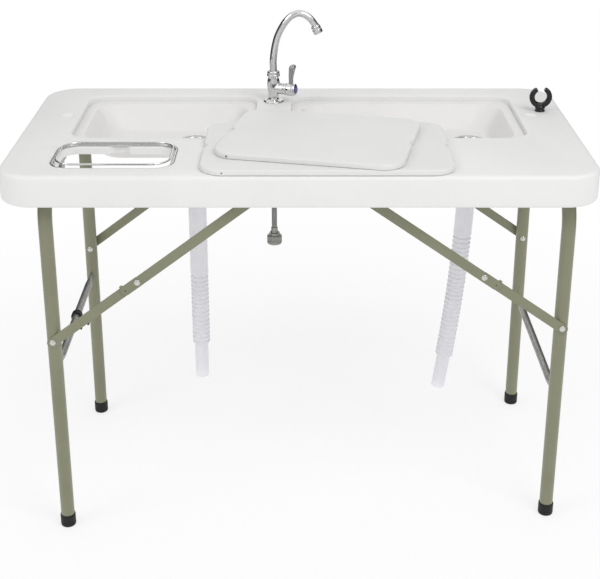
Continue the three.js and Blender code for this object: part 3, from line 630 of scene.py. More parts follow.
def hoseTree():
    # smooth at the top, ribbed in the middle and narrower at the cuff, with the radius told along the length
    group = Group("ribbedHose", [
        ("Radius", "Float", 0.02), ("Smooth", "Float", 0.2), ("Ribbed End", "Float", 0.4),
        ("Pitch", "Float", 0.0108), ("Rib Depth", "Float", 0.0012), ("Cuff Radius", "Float", 0.0152),
        ("Blend", "Float", 0.006), ("Step", "Float", 0.0011),
    ])
    values = {"Curve": group.path(), "Length": group.given("Step")}
    fine = group.node("GeometryNodeResampleCurve", {"mode": "LENGTH"}, values)
    along = group.node("GeometryNodeSplineParameter", {}, {}, 1)

    def ramp(edge):
        share = (along - group.given(edge)) / group.given("Blend")
        return group.node("ShaderNodeClamp", {}, {"Value": share})

    turns = (along - group.given("Smooth")) / group.given("Pitch") * (2 * math.pi)
    steep = turns.combined("COSINE", turns, 0.0) * 2.4
    flat = group.node("ShaderNodeClamp", {}, {"Value": steep, "Min": -1.0, "Max": 1.0})
    ribbed = group.given("Radius") - ramp("Smooth") * ((1.0 - flat) * group.given("Rib Depth"))
    radius = ribbed - ramp("Ribbed End") * (ribbed - group.given("Cuff Radius"))
    return group.sweeps(fine, radius, 56, False)


def domeTree():
    # a rivet's head on each point: a low dome over a thin round rim, facing front or back
    sizes = [("Radius", "Float", 0.006), ("Height", "Float", 0.0018), ("Rim", "Float", 0.0004)]
    group = Group("rivetHeads", sizes)
    radius = group.given("Radius")
    ball = group.node("GeometryNodeMeshUVSphere", {}, {"Segments": 32, "Rings": 16, "Radius": 1.0})
    size = group.node("ShaderNodeCombineXYZ", {}, {"X": radius, "Y": group.given("Height"), "Z": radius})
    dome = group.node("GeometryNodeTransform", {}, {"Geometry": ball, "Scale": size})
    values = {"Vertices": 32, "Radius": radius, "Depth": group.given("Rim")}
    disc = group.node("GeometryNodeMeshCylinder", {}, values)
    stood = group.node("GeometryNodeTransform", {}, {"Geometry": disc, "Rotation": (math.pi / 2, 0.0, 0.0)})
    head = group.node("GeometryNodeJoinGeometry", {}, {0: dome})
    group.tree.links.new(stood.socket, head.socket.node.inputs[0])
    values = {"Points": group.given("Geometry"), "Instance": head}
    return group.closes(group.node("GeometryNodeInstanceOnPoints", {}, values))


roundTube = tubeTree()
ribbedHose = hoseTree()
rivetHeads = domeTree()


def piped(points, radius, material, sides, closed=False):
    values = {"Radius": mm(radius), "Sides": sides, "Capped": not closed, "Material": material}
    return roundTube.applied(lineMesh(points, closed), values)


# The cords: two drain hoses and the supply hose that hangs under the tap
hoses = [
    {"name": "left", "smooth": 272, "ribs": 16, "cuff": 87, "lean": [0, 0, 0, 0, 0, 0]},
    {"name": "right", "smooth": 177, "ribs": 28, "cuff": 81, "lean": [0, -2, -8, -17.5, -30, -45]},
]
hoseForm = {"top": 702, "y": 88, "radius": 20, "ribDepth": 1.15, "cuff": 15.2, "pitch": 10.8, "wall": 1.3}
drains = {}
for hose in hoses:
    low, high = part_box(hose["name"] + "_drain")
    drains[hose["name"]] = ((low[0] + high[0]) / 2, (low[1] + high[1]) / 2)
    hoseX, hoseY = drains[hose["name"]][0], mm(hoseForm["y"])
    ribbedEnd = hose["smooth"] + hose["ribs"] * hoseForm["pitch"]
    span = ribbedEnd + hose["cuff"]
    stops = []
    for i, lean in enumerate(hose["lean"]):
        stops.append((hoseX + mm(lean), hoseY, mm(hoseForm["top"] - i * span / 5)))
    route = curved(stops, 5)
    skin = ribbedHose.applied(lineMesh(route), {
        "Radius": mm(hoseForm["radius"]), "Smooth": mm(hose["smooth"]), "Ribbed End": mm(ribbedEnd),
        "Pitch": mm(hoseForm["pitch"]), "Rib Depth": mm(hoseForm["ribDepth"]),
        "Cuff Radius": mm(hoseForm["cuff"]), "Material": hosePlastic,
    })

    def awayFromMiddle(faces, middle=Vector((hoseX, hoseY, 0))):
        return sum((f.calc_center_median() - middle).xy.dot(f.normal.xy) for f in faces[:400])

    shell = walled(facing(skin, awayFromMiddle), hoseForm["wall"])
    replaced = [hose["name"] + "_drain_hose"]
    piece = finished(hose["name"] + "DrainHose", shell, hosePlastic, "table", replaced, 50)
    lengthOf(route)
    mm(2 * hoseForm["radius"])
    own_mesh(piece)

supply = {"y": 190.0, "top": 762.7, "end": 506.0, "bow": 18.0, "radius": 6.0}
coupling = {
    "profile": [
        (0, 492), (12, 492), (12, 465.0), (14.6, 464.8), (16.8, 466.2), (16.8, 471), (15.6, 472),
        (15.6, 479), (16.8, 480), (16.8, 484), (15.2, 486), (9.4, 486.2), (8.6, 488), (8.6, 495),
        (7.6, 496.5), (7.6, 503), (7.0, 505.5), (0, 505.6),
    ],
    "ridges": 18, "ridge": [(0, 467.2), (1.5, 467.2), (1.5, 483), (0, 483)], "ridgeAt": 15.5,
}
low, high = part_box("supply_hose")
tapX, tapY = (low[0] + high[0]) / 2, mm(supply["y"])
supplyRoute = []
for i in range(25):
    share = i / 24
    forward = supply["bow"] * (1 - math.cos(math.pi * share)) / 2
    height = supply["top"] + (supply["end"] - supply["top"]) * share
    supplyRoute.append(Vector((tapX, tapY - mm(forward), mm(height))))
parts = [turned(coupling["profile"], 0.6, 3, 48)]
for i in range(coupling["ridges"]):
    angle = 2 * math.pi * i / coupling["ridges"]
    ridge = turned(coupling["ridge"], 0.5, 2, 10)
    out = mm(coupling["ridgeAt"])
    parts.append(moved(ridge, shift(out * math.cos(angle), out * math.sin(angle), 0)))
nut = moved(joined(parts), shift(tapX, tapY - mm(supply["bow"]), 0))
inletPiece = finished("inletCoupling", nut, nutSteel, "table", ["inlet_nut"])
sleeve = piped(supplyRoute, supply["radius"], supplyBraid, 28)
supplyPiece = finished("supplyHose", sleeve, supplyBraid, "table", ["supply_hose"], 60)
lengthOf(supplyRoute)
mm(2 * supply["radius"])
print("cords made")


# The moulded top: rounded outside, hollow below, with two recesses, a waste opening and two finger dishes
top = {
    "width": 1143, "depth": 600, "high": 800, "low": 737, "corner": 70, "edge": 9, "lowEdge": 5,
    "wall": 18, "under": 780, "underEdge": 6,
}
recess = {
    "side": 103.5, "between": 77, "depth": 302, "corner": 45, "y": 82, "ledge": 785.4, "lip": 3.5,
    "ledgeWidth": 16.7, "mouthDepth": 259.6, "mouthCorner": 48.3, "mouthY": 77.5,
}
waste = {
    "x": -358.5, "y": -179.0, "width": 219, "depth": 130, "corner": 30, "lip": 2.5,
    "notch": [(26, 0), (21, 1.2), (17, 6), (13, 10.6), (6, 12)],
    "seat": 795, "seatWidth": 239, "seatDepth": 150, "seatCorner": 39.5, "seatLip": 1.6,
}
dish = {"beside": 27, "profile": [(0, 796), (7, 796.6), (11, 797.8), (14, 800), (15.2, 801), (0, 801)]}
rodX, rodY = mm(521), mm(115)
holes = [(tapX, tapY, 10.3), (rodX, rodY, 5.3)]
sinks = [{"name": "left", "side": -1, "share": 0.4354}, {"name": "right", "side": 1, "share": 0.5646}]
room = top["width"] - 2 * recess["side"] - recess["between"]
outline = outlined(top["width"], top["depth"], top["corner"], 24)
topMesh = slabbed(outline, mm(top["low"]), mm(top["high"]), mm(top["lowEdge"]), mm(top["edge"]), 8)
wall = top["wall"]
bay = outlined(top["width"] - 2 * wall, top["depth"] - 2 * wall, top["corner"] - wall, 18)
tools = [slabbed(bay, mm(top["low"] - 2), mm(top["under"]), mm(0.1), mm(top["underEdge"]), 6)]
for sink in sinks:
    sink["width"] = room * sink["share"]
    sink["x"] = sink["side"] * (top["width"] / 2 - recess["side"] - sink["width"] / 2)
    seat = outlined(sink["width"], recess["depth"], recess["corner"], 16, sink["x"], recess["y"])
    tools.append(flared(seat, mm(recess["ledge"]), mm(top["high"]), mm(recess["lip"])))
    size = (sink["width"] - 2 * recess["ledgeWidth"], recess["mouthDepth"], recess["mouthCorner"])
    mouth = outlined(*size, 16, sink["x"], recess["mouthY"])
    tools.append(lofted([level(mouth, mm(top["under"] - 10)), level(mouth, mm(top["under"] + 10))]))

# the waste opening's outline, with a notch after its back corner and one after its front corner
hole = []
quarter = 12
for i, point in enumerate(roundedLoop(waste["width"], waste["depth"], waste["corner"], quarter)):
    hole.append(point)
    side = {quarter: 1, 3 * quarter + 2: -1}.get(i)
    if side:
        run = [(across, waste["depth"] / 2 + out) for across, out in waste["notch"]]
        run += [(-across, out) for across, out in reversed(run)]
        hole += [(side * across, side * out) for across, out in run]
hole = [(mm(waste["x"] + across), mm(waste["y"] + out)) for across, out in hole]
tools.append(flared(hole, mm(top["under"] - 10), mm(waste["seat"]), mm(waste["lip"])))
size = (waste["seatWidth"], waste["seatDepth"], waste["seatCorner"])
ringSeat = outlined(*size, 14, waste["x"], waste["y"])
tools.append(flared(ringSeat, mm(waste["seat"]), mm(top["high"]), mm(waste["seatLip"])))
for sink in sinks:
    dishX = sink["x"] + sink["side"] * (sink["width"] / 2 + dish["beside"])
    tools.append(moved(spun(metres(dish["profile"]), 40), shift(mm(dishX), mm(recess["y"]), 0)))
for x, y, radius in holes:
    tools.append(moved(plug(radius, top["under"] - 10, top["high"] + 2, 28), shift(x, y, 0)))
finished("mouldedTop", carved(topMesh, tools), whitePlastic, "table", ["tabletop"], 24)
print("top made")


# The basins: a flat flange, a rounded lip, sloping sides and a flat floor with the drain's hole
basin = {
    "inset": 40, "depth": 253, "y": 77.5, "draft": 36, "floor": 738, "high": 788.7, "corner": 45, "lip": 6,
    "foot": 16, "wall": 2.8, "drainHole": 29.6, "sideEase": 3, "footEase": 2, "lipEase": 0.2,
    "flangeGap": 0.6, "flangeDepth": 301.4, "flangeCorner": 44.7, "flangeThick": 3, "flangeEdge": 0.6,
}
basinDrop = basin["high"] - basin["floor"]
slope = math.atan2(basinDrop, basin["draft"])
for sink in sinks:

    def ringAt(inset, height, corner, x=sink["x"], width=sink["width"] - basin["inset"]):
        loop = outlined(width - 2 * inset, basin["depth"] - 2 * inset, corner, 12, x, basin["y"])
        return level(loop, mm(height))

    size = (sink["width"] - basin["flangeGap"], basin["flangeDepth"], basin["flangeCorner"])
    flange = outlined(*size, 12, sink["x"], recess["y"])
    rings = [
        level(flange, mm(basin["high"] - basin["flangeThick"])),
        level(flange, mm(basin["high"] - basin["flangeEdge"])),
        level(shrunk(flange, mm(basin["flangeEdge"])), mm(basin["high"])),
    ]
    for i in range(7):
        turn = slope * (i / 6)
        inset = -basin["lip"] * math.tan(slope / 2) + basin["lip"] * math.sin(turn)
        height = basin["high"] - basin["lip"] * (1 - math.cos(turn))
        rings.append(ringAt(inset, height, basin["corner"] + basin["sideEase"] - inset * basin["lipEase"]))
    for share in (0.25, 0.5, 0.72):
        height = basin["high"] - share * basinDrop
        rings.append(ringAt(share * basin["draft"], height, basin["corner"] - basin["sideEase"] * share))
    for i in range(8):
        turn = slope * (1 - i / 7)
        inset = basin["draft"] + basin["foot"] * math.tan(slope / 2) - basin["foot"] * math.sin(turn)
        height = basin["floor"] + basin["foot"] * (1 - math.cos(turn))
        corner = basin["corner"] - basin["sideEase"] - basin["footEase"] * i / 7
        rings.append(ringAt(inset, height, corner))
    drainAt = Vector((*drains[sink["name"]], mm(basin["floor"])))
    edge = rings[-1]
    holeRing = []
    for point in edge:
        away = (Vector(point) - drainAt).xy.normalized() * mm(basin["drainHole"])
        holeRing.append((drainAt.x + away.x, drainAt.y + away.y, drainAt.z))
    for share in (0.35, 0.7):
        rings.append([tuple(Vector(a).lerp(Vector(b), share)) for a, b in zip(edge, holeRing)])
    rings.append(holeRing)

    def floorSide(faces):
        # the lowest flat face looks up
        flat = [f for f in faces if abs(f.normal.z) >= 0.9]
        return min(flat, key=lambda f: f.calc_center_median().z).normal.z

    shell = walled(facing(lofted(rings, False), floorSide), basin["wall"], True)
    finished(sink["name"] + "Basin", shell, basinPlastic, "table", [sink["name"] + "_basin"], 38)
print("basins made")


# The drains: a flanged cup that narrows to its tail, and a strainer with slots and a knob
drainForm = {
    "cup": [
        (14.5, 688), (17, 688), (17, 719.5), (29, 722), (29, 738.3), (40, 738.3), (39.4, 739.8),
        (36.5, 740.5), (29.2, 740.5), (26.8, 738.6), (26.5, 724.8), (14.5, 722.2), (14.5, 688),
    ],
    "bowl": [
        (34, 742.3), (30, 742.3), (27, 742.2), (24.6, 741.6), (23.6, 740), (23.4, 736), (23, 732.5),
        (21, 730.9), (17.5, 730.8), (13, 730.8), (9, 730.8), (6, 730.8),
    ],
    "slots": {5: (1, 2, 3), 8: (1, 2), 9: (1, 2)},  # in each row, which of every six panels are left out
    "knob": [
        (0, 729.5), (6.6, 729.5), (6.6, 731.2), (3.2, 732), (2.6, 734), (3.4, 735.6), (5.2, 736.6),
        (5, 738.2), (3.2, 739), (0, 739.2),
    ],
    "panels": 72, "wall": 1.2,
}


def slottedBowl(count):
    # panels are left out of the bowl's skin before it is thickened
    angles = [2 * math.pi * i / count for i in range(count)]
    work = bmesh.new()
    rows = []
    for radius, height in metres(drainForm["bowl"]):
        rows.append([work.verts.new((radius * math.cos(a), radius * math.sin(a), height)) for a in angles])
    for row, (low, high) in enumerate(zip(rows, rows[1:])):
        for i in range(count):
            if i % 6 not in drainForm["slots"].get(row, ()):
                j = (i + 1) % count
                work.faces.new((low[i], high[i], high[j], low[j]))
    return facing(released(work, "bowl"), lambda faces: faces[0].normal.z)


for sink in sinks:
    place = shift(*drains[sink["name"]], 0)
    cup = moved(turned(drainForm["cup"], 0.7, 3, 64), place)
    finished(sink["name"] + "Drain", cup, drainSteel, "table", [sink["name"] + "_drain"])
    bowl = walled(slottedBowl(drainForm["panels"]), drainForm["wall"])
    strainer = moved(joined([bowl, turned(drainForm["knob"], 0.6, 3, 40)]), place)
    replaced = [sink["name"] + "_strainer"]
    finished(sink["name"] + "Strainer", strainer, drainSteel, sink["name"] + "_basket", replaced)
print("drains made")


# The boards, with a thumb notch in each short side and a small dark disc in the front edge
boardForm = {"depth": 298, "thick": 11, "corner": 43, "edge": 2.4, "notch": 34, "ease": 3, "reach": 7, "narrower": 4}
edgeDotForm = {"profile": [(0, 0), (1.7, 0), (1.7, 0.5), (0.9, 0.9), (0, 0.9)], "along": -0.82, "sunk": 0.6}
boards = [
    {"name": "right", "over": sinks[1], "centre": (53.04, -148.0), "low": 800.3, "turn": 0.0},
    {"name": "left", "over": sinks[0], "centre": (41.64, -122.0), "low": 811.6, "turn": -12.5},
]
for board in boards:
    width, steps = board["over"]["width"] - boardForm["narrower"], 15
    points = []
    for i, point in enumerate(roundedLoop(width, boardForm["depth"], boardForm["corner"], steps - 1)):
        points.append(point)
        side = {2 * steps - 1: -1, 4 * steps - 1: 1}.get(i)
        if side:
            # the notch: an easy dip into the short side
            for step in range(-8, 9):
                along = step / 8 * (boardForm["notch"] / 2 + boardForm["ease"])
                dip = boardForm["reach"] * (math.cos(math.pi * step / 8) + 1) / 2
                points.append((side * (width / 2 - dip), side * along))
    thick, edge = mm(boardForm["thick"]), mm(boardForm["edge"])
    plate = slabbed(metres(points), 0.0, thick, edge, edge, 6)
    turn = Matrix.Rotation(math.radians(board["turn"]), 4, "Z")
    stand = shift(*map(mm, board["centre"]), mm(board["low"])) @ turn
    body, replaced = board["name"] + "_board", [board["name"] + "_sink_board"]
    finished(board["name"] + "Board", moved(plate, stand), boardPlastic, body, replaced, 30)
    # a small dark disc, standing out about 0.3 mm from the board's front edge
    edgeDotY = -boardForm["depth"] / 2 + edgeDotForm["sunk"]
    flat = shift(mm(edgeDotForm["along"] * width / 2), mm(edgeDotY), thick / 2) @ Matrix.Rotation(math.pi / 2, 4, "X")
    edgeDot = moved(turned(edgeDotForm["profile"], 0.2, 2, 20), stand @ flat)
    finished(board["name"] + "BoardEdgeDot", edgeDot, pinDark, body)
print("boards made")


# The tap: a cast body with a side barrel, a lever on its hub, a button and a swan-neck spout
tap = {
    "z": 800, "turn": -20, "barrel": 31, "hubAt": 32.3, "greyFrom": 14.5, "voxel": 0.7,
    "body": [
        (0, 1.0), (12.4, 1.0), (13.2, 5.0), (11.6, 9), (11, 13), (11.8, 19), (13.4, 27), (13.9, 34),
        (13.8, 43), (13.2, 49), (11.9, 53.5), (11.9, 56), (13.4, 58), (13.6, 63), (13.4, 68.6),
        (12.4, 70), (8.7, 70), (8.7, 62), (0, 62),
    ],
    "arm": [(0, 0), (12.6, 0), (12.6, 26), (13.4, 28), (13.4, 31.8), (0, 31.8)],
    "plate": [
        (0, -46), (10, -46), (10, 0.3), (22.3, 0.3), (22.3, 1.6), (20.5, 3.4), (15.5, 5.2), (13.2, 6.4),
        (0, 6.4),
    ],
    "collar": [
        (12.4, 57.6), (12.6, 57.4), (14.0, 58), (14.3, 59.5), (14.3, 61.5), (13.6, 62.6), (12.4, 62.6),
        (12.4, 57.6),
    ],
    "hub": [
        (0, 0), (13.6, 0), (14.4, 1.2), (14.4, 12.5), (13.8, 14.4), (13.8, 17), (12.6, 19.4), (9.2, 20),
        (0, 20),
    ],
    "button": [(0, 20.3), (8.5, 20.3), (8.5, 21.3), (7.4, 22.1), (0, 22.3)],
}
blade = {"foot": 8, "long": 49, "out": 9, "half": 5.2, "wider": 5.6, "thick": 4.4, "fuller": 4.6, "lean": 8.5}
spout = {
    "reach": [0, 0, -0.5, 1, 4, 9, 17, 27, 40, 55, 69, 81, 90, 95],
    "rise": [62.5, 75, 90, 107, 126, 145, 163, 179, 192, 198, 195, 186, 174, 163],
    "radius": 7.7,
    "tip": [
        (0, -9.4), (8.4, -9.4), (9.2, -10), (9.4, -7.6), (10.4, -7), (10.6, -2), (9.8, -1.4),
        (9.8, -0.6), (10.7, 0), (10.7, 8.2), (10.0, 9), (8.2, 9), (7.6, 7.4), (0, 7.2),
    ],
}
tapStand = shift(tapX, tapY, mm(tap["z"]))
barrelTurn = Matrix.Rotation(math.radians(tap["turn"]), 4, "Z")
outAlong = Matrix.Rotation(math.pi / 2, 4, "Y")
arm = moved(turned(tap["arm"], 1, 4, 64), shift(0, 0, mm(tap["barrel"])) @ barrelTurn @ outAlong)
castBody = worked(carved(turned(tap["body"], 1.2, 4, 64), [arm], "UNION"), [
    ("REMESH", {"mode": "VOXEL", "voxel_size": mm(tap["voxel"])}), ("SMOOTH", {"factor": 0.5, "iterations": 9}),
])
tapMesh = joined([castBody, turned(tap["plate"], 1, 4, 64), turned(tap["collar"], 0.4, 2, 64)])
finished("tapBody", moved(tapMesh, tapStand), chromePlate, "table", ["tap_body"], 40)

hubPlace = tapStand @ barrelTurn @ shift(mm(tap["hubAt"]), 0, mm(tap["barrel"]))
bladeRings = []
for i in range(25):
    share = i / 24
    cap = math.sqrt(max(0.02, 1 - (max(0.0, share - 0.84) / 0.16) ** 2))
    half = (blade["half"] + blade["wider"] * share ** 1.6) * cap
    thick = (blade["thick"] + blade["fuller"] * max(0.0, share - 0.35) ** 0.9) * cap
    middle = blade["out"] + blade["lean"] * max(0.0, share - 0.3) ** 1.5
    height = mm(blade["foot"] + blade["long"] * share)
    bladeRings.append([(mm(middle + thick * b), mm(half * a), height) for a, b in squaredCircle(28, 0.75)])
leverMesh = moved(joined([moved(turned(tap["hub"], 0.9, 4, 64), outAlong), lofted(bladeRings)]), hubPlace)
leverPiece = finished("tapLever", leverMesh, chromePlate, "lever", ["tap_lever"], 40)
leverPiece.data.materials.append(leverGrey)
toHub = hubPlace.inverted()
for face in leverPiece.data.polygons:
    if (toHub @ face.center).z > mm(tap["greyFrom"]):
        face.material_index = 1
button = moved(turned(tap["button"], 0.5, 3, 48), hubPlace @ outAlong)
finished("leverButton", button, blueCap, "lever", ["lever_cap"])

stops = [(tapX + mm(out), tapY, mm(tap["z"] + up)) for out, up in zip(spout["reach"], spout["rise"])]
spoutMesh = piped(curved(stops, 8), spout["radius"], chromePlate, 48)
finished("tapSpout", spoutMesh, chromePlate, "spout", ["tap_spout"], 50)
away = (Vector(stops[-1]) - Vector(stops[-2])).normalized()
turn = Vector((0, 0, 1)).rotation_difference(away).to_matrix().to_4x4()
tip = moved(turned(spout["tip"], 0.5, 3, 56), shift(*stops[-1]) @ turn)
finished("spoutTip", tip, chromePlate, "spout", ["spout_aerator"], 40)
print("tap made")


# The wire rings round the waste opening
wireForm = {"radius": 2.1, "corner": 36}
wires = [
    {"name": "lower", "width": 232, "depth": 143, "y": -179.0, "z": 797.4, "body": "table"},
    {"name": "upper", "width": 220, "depth": 131, "y": -173.0, "z": 802.4, "body": "bag_ring"},
]
for wire in wires:
    points = []
    for i, j in ((-1, -1), (1, -1), (1, 1), (-1, 1)):
        x, y = waste["x"] + i * wire["width"] / 2, wire["y"] + j * wire["depth"] / 2
        points.append((mm(x), mm(y), mm(wire["z"])))
    loop = bentLine(points, mm(wireForm["corner"]), 14, True)
    mesh = piped(loop, wireForm["radius"], chromePlate, 20, True)
    replaced = ["bag_ring_" + wire["name"]]
    finished(wire["name"] + "Ring", mesh, chromePlate, wire["body"], replaced, 60)
print("rings made")


# The rod holder: a round fork on a stepped post
fork = {
    "outer": 24.5, "inner": 13, "thick": 13, "middle": 832, "mouth": 50,
    "tip": 0.72, "tipStep": 0.14, "narrow": 0.86, "narrowOver": 16, "close": 0.99, "closeOver": 12,
}
post = [
    (0, 767), (5, 767), (5, 800.3), (10.8, 800.3), (10.8, 803), (9.6, 804), (9.6, 806), (10.8, 807),
    (10.8, 810.5), (9.6, 811.5), (9.6, 812.5), (8.6, 814), (8, 817), (0, 817),
]
rings = []
for i in range(61):
    angle = math.radians(90 + fork["mouth"] / 2 + (360 - fork["mouth"]) * (i / 60))
    near = min(i, 60 - i)  # how many rings away the nearer end is
    scale = 1 if near > 2 else fork["tip"] + fork["tipStep"] * near
    swell = fork["narrow"] + (1 - fork["narrow"]) * min(1, near / fork["narrowOver"])
    wide = (fork["outer"] - fork["inner"]) / 2 * scale * swell
    deep = fork["thick"] / 2 * scale
    swell = fork["close"] + (1 - fork["close"]) * min(1, near / fork["closeOver"])
    middle = (fork["outer"] + fork["inner"]) / 2 * swell
    ring = []
    for a, b in squaredCircle(32, 0.6):
        out = middle + wide * a
        height = mm(fork["middle"] + out * math.sin(angle))
        ring.append((rodX + mm(out * math.cos(angle)), rodY + mm(deep * b), height))
    rings.append(ring)
holder = joined([lofted(rings), moved(turned(post, 0.6, 3, 48), shift(rodX, rodY, 0))])
finished("rodHolder", holder, blackPlastic, "rod_holder", ["rod_holder_clip"], 50)
print("rod holder made")


# The leg frames: a bent tube, rubber feet, a flattened cross bar and two pairs of folding links
legs = [
    {
        "name": "left", "inward": 1, "x": -488.0, "middle": -20.0, "hinge": 763, "rivet": 438, "bar": 370,
        "anchor": -60.37, "knee": (-314.49, 569.87), "slope": 37.23, "lower": 217.9, "upper": 319.2,
    },
    {
        "name": "right", "inward": -1, "x": 528.0, "middle": 20.0, "hinge": 735, "rivet": 448, "bar": 290,
        "anchor": 78.0, "knee": (365.37, 561.84), "slope": 34.99, "lower": 198.5, "upper": 350.8,
    },
]
legForm = {"half": 230, "radius": 14, "bend": 80, "low": 3.3, "anchorZ": 763}
footShape = [
    (0, 0), (13.6, 0), (15.2, 1.2), (15.8, 4), (15.8, 9), (15.2, 9.8), (15.2, 11), (15.8, 11.8),
    (15.8, 25), (15.2, 27.4), (14.4, 28), (14.2, 27), (0, 27),
]
barForm = {
    "clear": 0.3, "round": 8, "flatWide": 2.5, "flatHigh": 10, "flatEnd": 16, "flatOver": 32,
    "stops": [0, 6, 14, 20, 24, 28, 32, 36, 40, 44, 48, 120],
}
linkForm = {
    "half": 10, "thick": 2, "edge": 0.45, "end": 12, "tail": 40, "lowerLayer": 14.3, "upperLayer": 16.6,
    "hole": (-30, 1.6), "tabX": -31.5, "tabLong": 7, "tabThick": 1.5, "tabEdge": 0.4,
}
rivetForm = {"radius": 6, "height": 2.1, "rim": 1.4, "onLeg": (16.9, -13.6), "onLink": (19.2,)}


def linkBar(length, before, hole=None):
    # a flat bar with round ends, drawn along x with its thickness up
    half = linkForm["half"]
    points = []
    for end, start in ((length + linkForm["end"] - half, -math.pi / 2), (half - before, math.pi / 2)):
        for i in range(17):
            angle = start + math.pi * i / 16
            points.append((end + half * math.cos(angle), half * math.sin(angle)))
    edge = mm(linkForm["edge"])
    bar = slabbed(metres(points), 0.0, mm(linkForm["thick"]), edge, edge, 3)
    if hole:
        bar = carved(bar, [moved(plug(hole[1], -2, 5, 20), shift(mm(hole[0]), 0, 0))])
    return bar


def stopTab(depth, corner, y, z, turn=0.0):
    # part of the stop, which is a tab of the upper link bent over the lower link's top edge
    edge = mm(linkForm["tabEdge"])
    tab = outlined(linkForm["tabLong"], depth, corner, 4)
    tab = slabbed(tab, 0.0, mm(linkForm["tabThick"]), edge, edge, 2)
    return moved(tab, shift(mm(linkForm["tabX"]), mm(y), mm(z)) @ Matrix.Rotation(turn, 4, "X"))


for leg in legs:
    name, x, half = leg["name"], mm(leg["x"]), legForm["half"]
    front, back = mm(leg["middle"] - half), mm(leg["middle"] + half)
    low, high = mm(legForm["low"]), mm(leg["hinge"])
    corners = [(x, front, low), (x, front, high), (x, back, high), (x, back, low)]
    tube = piped(bentLine(corners, mm(legForm["bend"]), 20), legForm["radius"], legPaint, 48)
    finished(name + "Leg", tube, legPaint, name + "_legs", [name + "_leg_tube"], 50)
    feet = joined([moved(turned(footShape, 0.8, 3, 48), shift(x, y, 0)) for y in (front, back)])
    replaced = [name + "_front_foot", name + "_back_foot"]
    finished(name + "Feet", feet, footRubber, name + "_legs", replaced, 40)

    # the cross bar is round in the middle and pressed flat at its ends
    rings = []
    barHalf = half - legForm["radius"] - barForm["clear"]
    stops = [s - barHalf for s in barForm["stops"]]
    for at in stops + [-s for s in reversed(stops)]:
        flat = 1 - max(0.0, min(1.0, (barHalf - abs(at) - barForm["flatEnd"]) / barForm["flatOver"]))
        flat = flat * flat * (3 - 2 * flat)
        wide = barForm["round"] + (barForm["flatWide"] - barForm["round"]) * flat
        tall = barForm["round"] + (barForm["flatHigh"] - barForm["round"]) * flat
        y = mm(leg["middle"] + at)
        shape = squaredCircle(32, 1 - 0.45 * flat)
        rings.append([(x + mm(wide * a), y, mm(leg["bar"] + tall * b)) for a, b in shape])
    replaced = [name + "_cross_bar"]
    finished(name + "CrossBar", lofted(rings), barSteel, name + "_legs", replaced, 40)

    # the links: the lower one from the leg to the knee, the upper one from the knee to the bracket
    rise, inward = math.radians(leg["slope"]), leg["inward"]
    along = Vector((inward * math.cos(rise), 0, math.sin(rise)))
    upward = Vector((-inward * math.sin(rise), 0, math.cos(rise)))
    lowers, uppers = [], []
    for outward in (-1, 1):

        def stand(start, layer, outward=outward, leg=leg, along=along, upward=upward):
            turn = Matrix((along, upward, (0, outward, 0))).transposed().to_4x4()
            y = leg["middle"] + outward * legForm["half"] + outward * layer
            return shift(mm(start[0]), mm(y), mm(start[1])) @ turn

        bar = linkBar(leg["lower"], linkForm["end"])
        lowers.append(moved(bar, stand((leg["x"], leg["rivet"]), linkForm["lowerLayer"])))
        bar = linkBar(leg["upper"], linkForm["tail"], linkForm["hole"])
        tabs = [stopTab(5.4, 1.2, 11.4, 0.4), stopTab(4.4, 1.0, 11.3, -0.2, math.pi / 2)]
        uppers.append(moved(joined([bar] + tabs), stand(leg["knee"], linkForm["upperLayer"])))
    for part, bars in (("lower", lowers), ("upper", uppers)):
        replaced = [f"{name}_front_{part}_brace", f"{name}_back_{part}_brace"]
        label, body = f"{name}{part.capitalize()}Links", f"{name}_{part}_braces"
        finished(label, joined(bars), legPaint, body, replaced)

    # rivet heads, one set for each body they turn with; the leg's rivets show a head on the inner side too
    for part, (px, pz), layers, body, label in (
        ("LegRivets", (leg["x"], leg["rivet"]), rivetForm["onLeg"], name + "_legs", "leg_rivet"),
        ("KneeRivets", leg["knee"], rivetForm["onLink"], name + "_upper_braces", "knee_rivet"),
        ("AnchorRivets", (leg["anchor"], legForm["anchorZ"]), rivetForm["onLink"], "table", None),
    ):
        points = []
        for outward in (-1, 1):
            for layer in layers:
                points.append((mm(px), mm(leg["middle"] + outward * (half + layer)), mm(pz)))
        heads = rivetHeads.applied(lineMesh(points), {
            "Radius": mm(rivetForm["radius"]), "Height": mm(rivetForm["height"]), "Rim": mm(rivetForm["rim"]),
            "Material": rivetSteel,
        })
        replaced = [f"{name}_front_{label}", f"{name}_back_{label}"] if label else []
        finished(name + part, heads, rivetSteel, body, replaced, 40)
print("legs made")


# The CAD pieces that stay as they are take a finish of their own
kept = {
    "left_drain_nut": basinPlastic, "right_drain_nut": basinPlastic, "tap_lock_nut": nutSteel,
    "rod_holder_nut": blackPlastic, "storage_clip": footRubber,
}
for corner in ("left_front", "left_back", "right_front", "right_back"):
    kept[corner + "_saddle"] = barSteel
    kept[corner + "_anchor"] = legPaint
for node, material in kept.items():
    for place in nodes[node].material_slots:
        place.material = material
print("kept pieces finished")


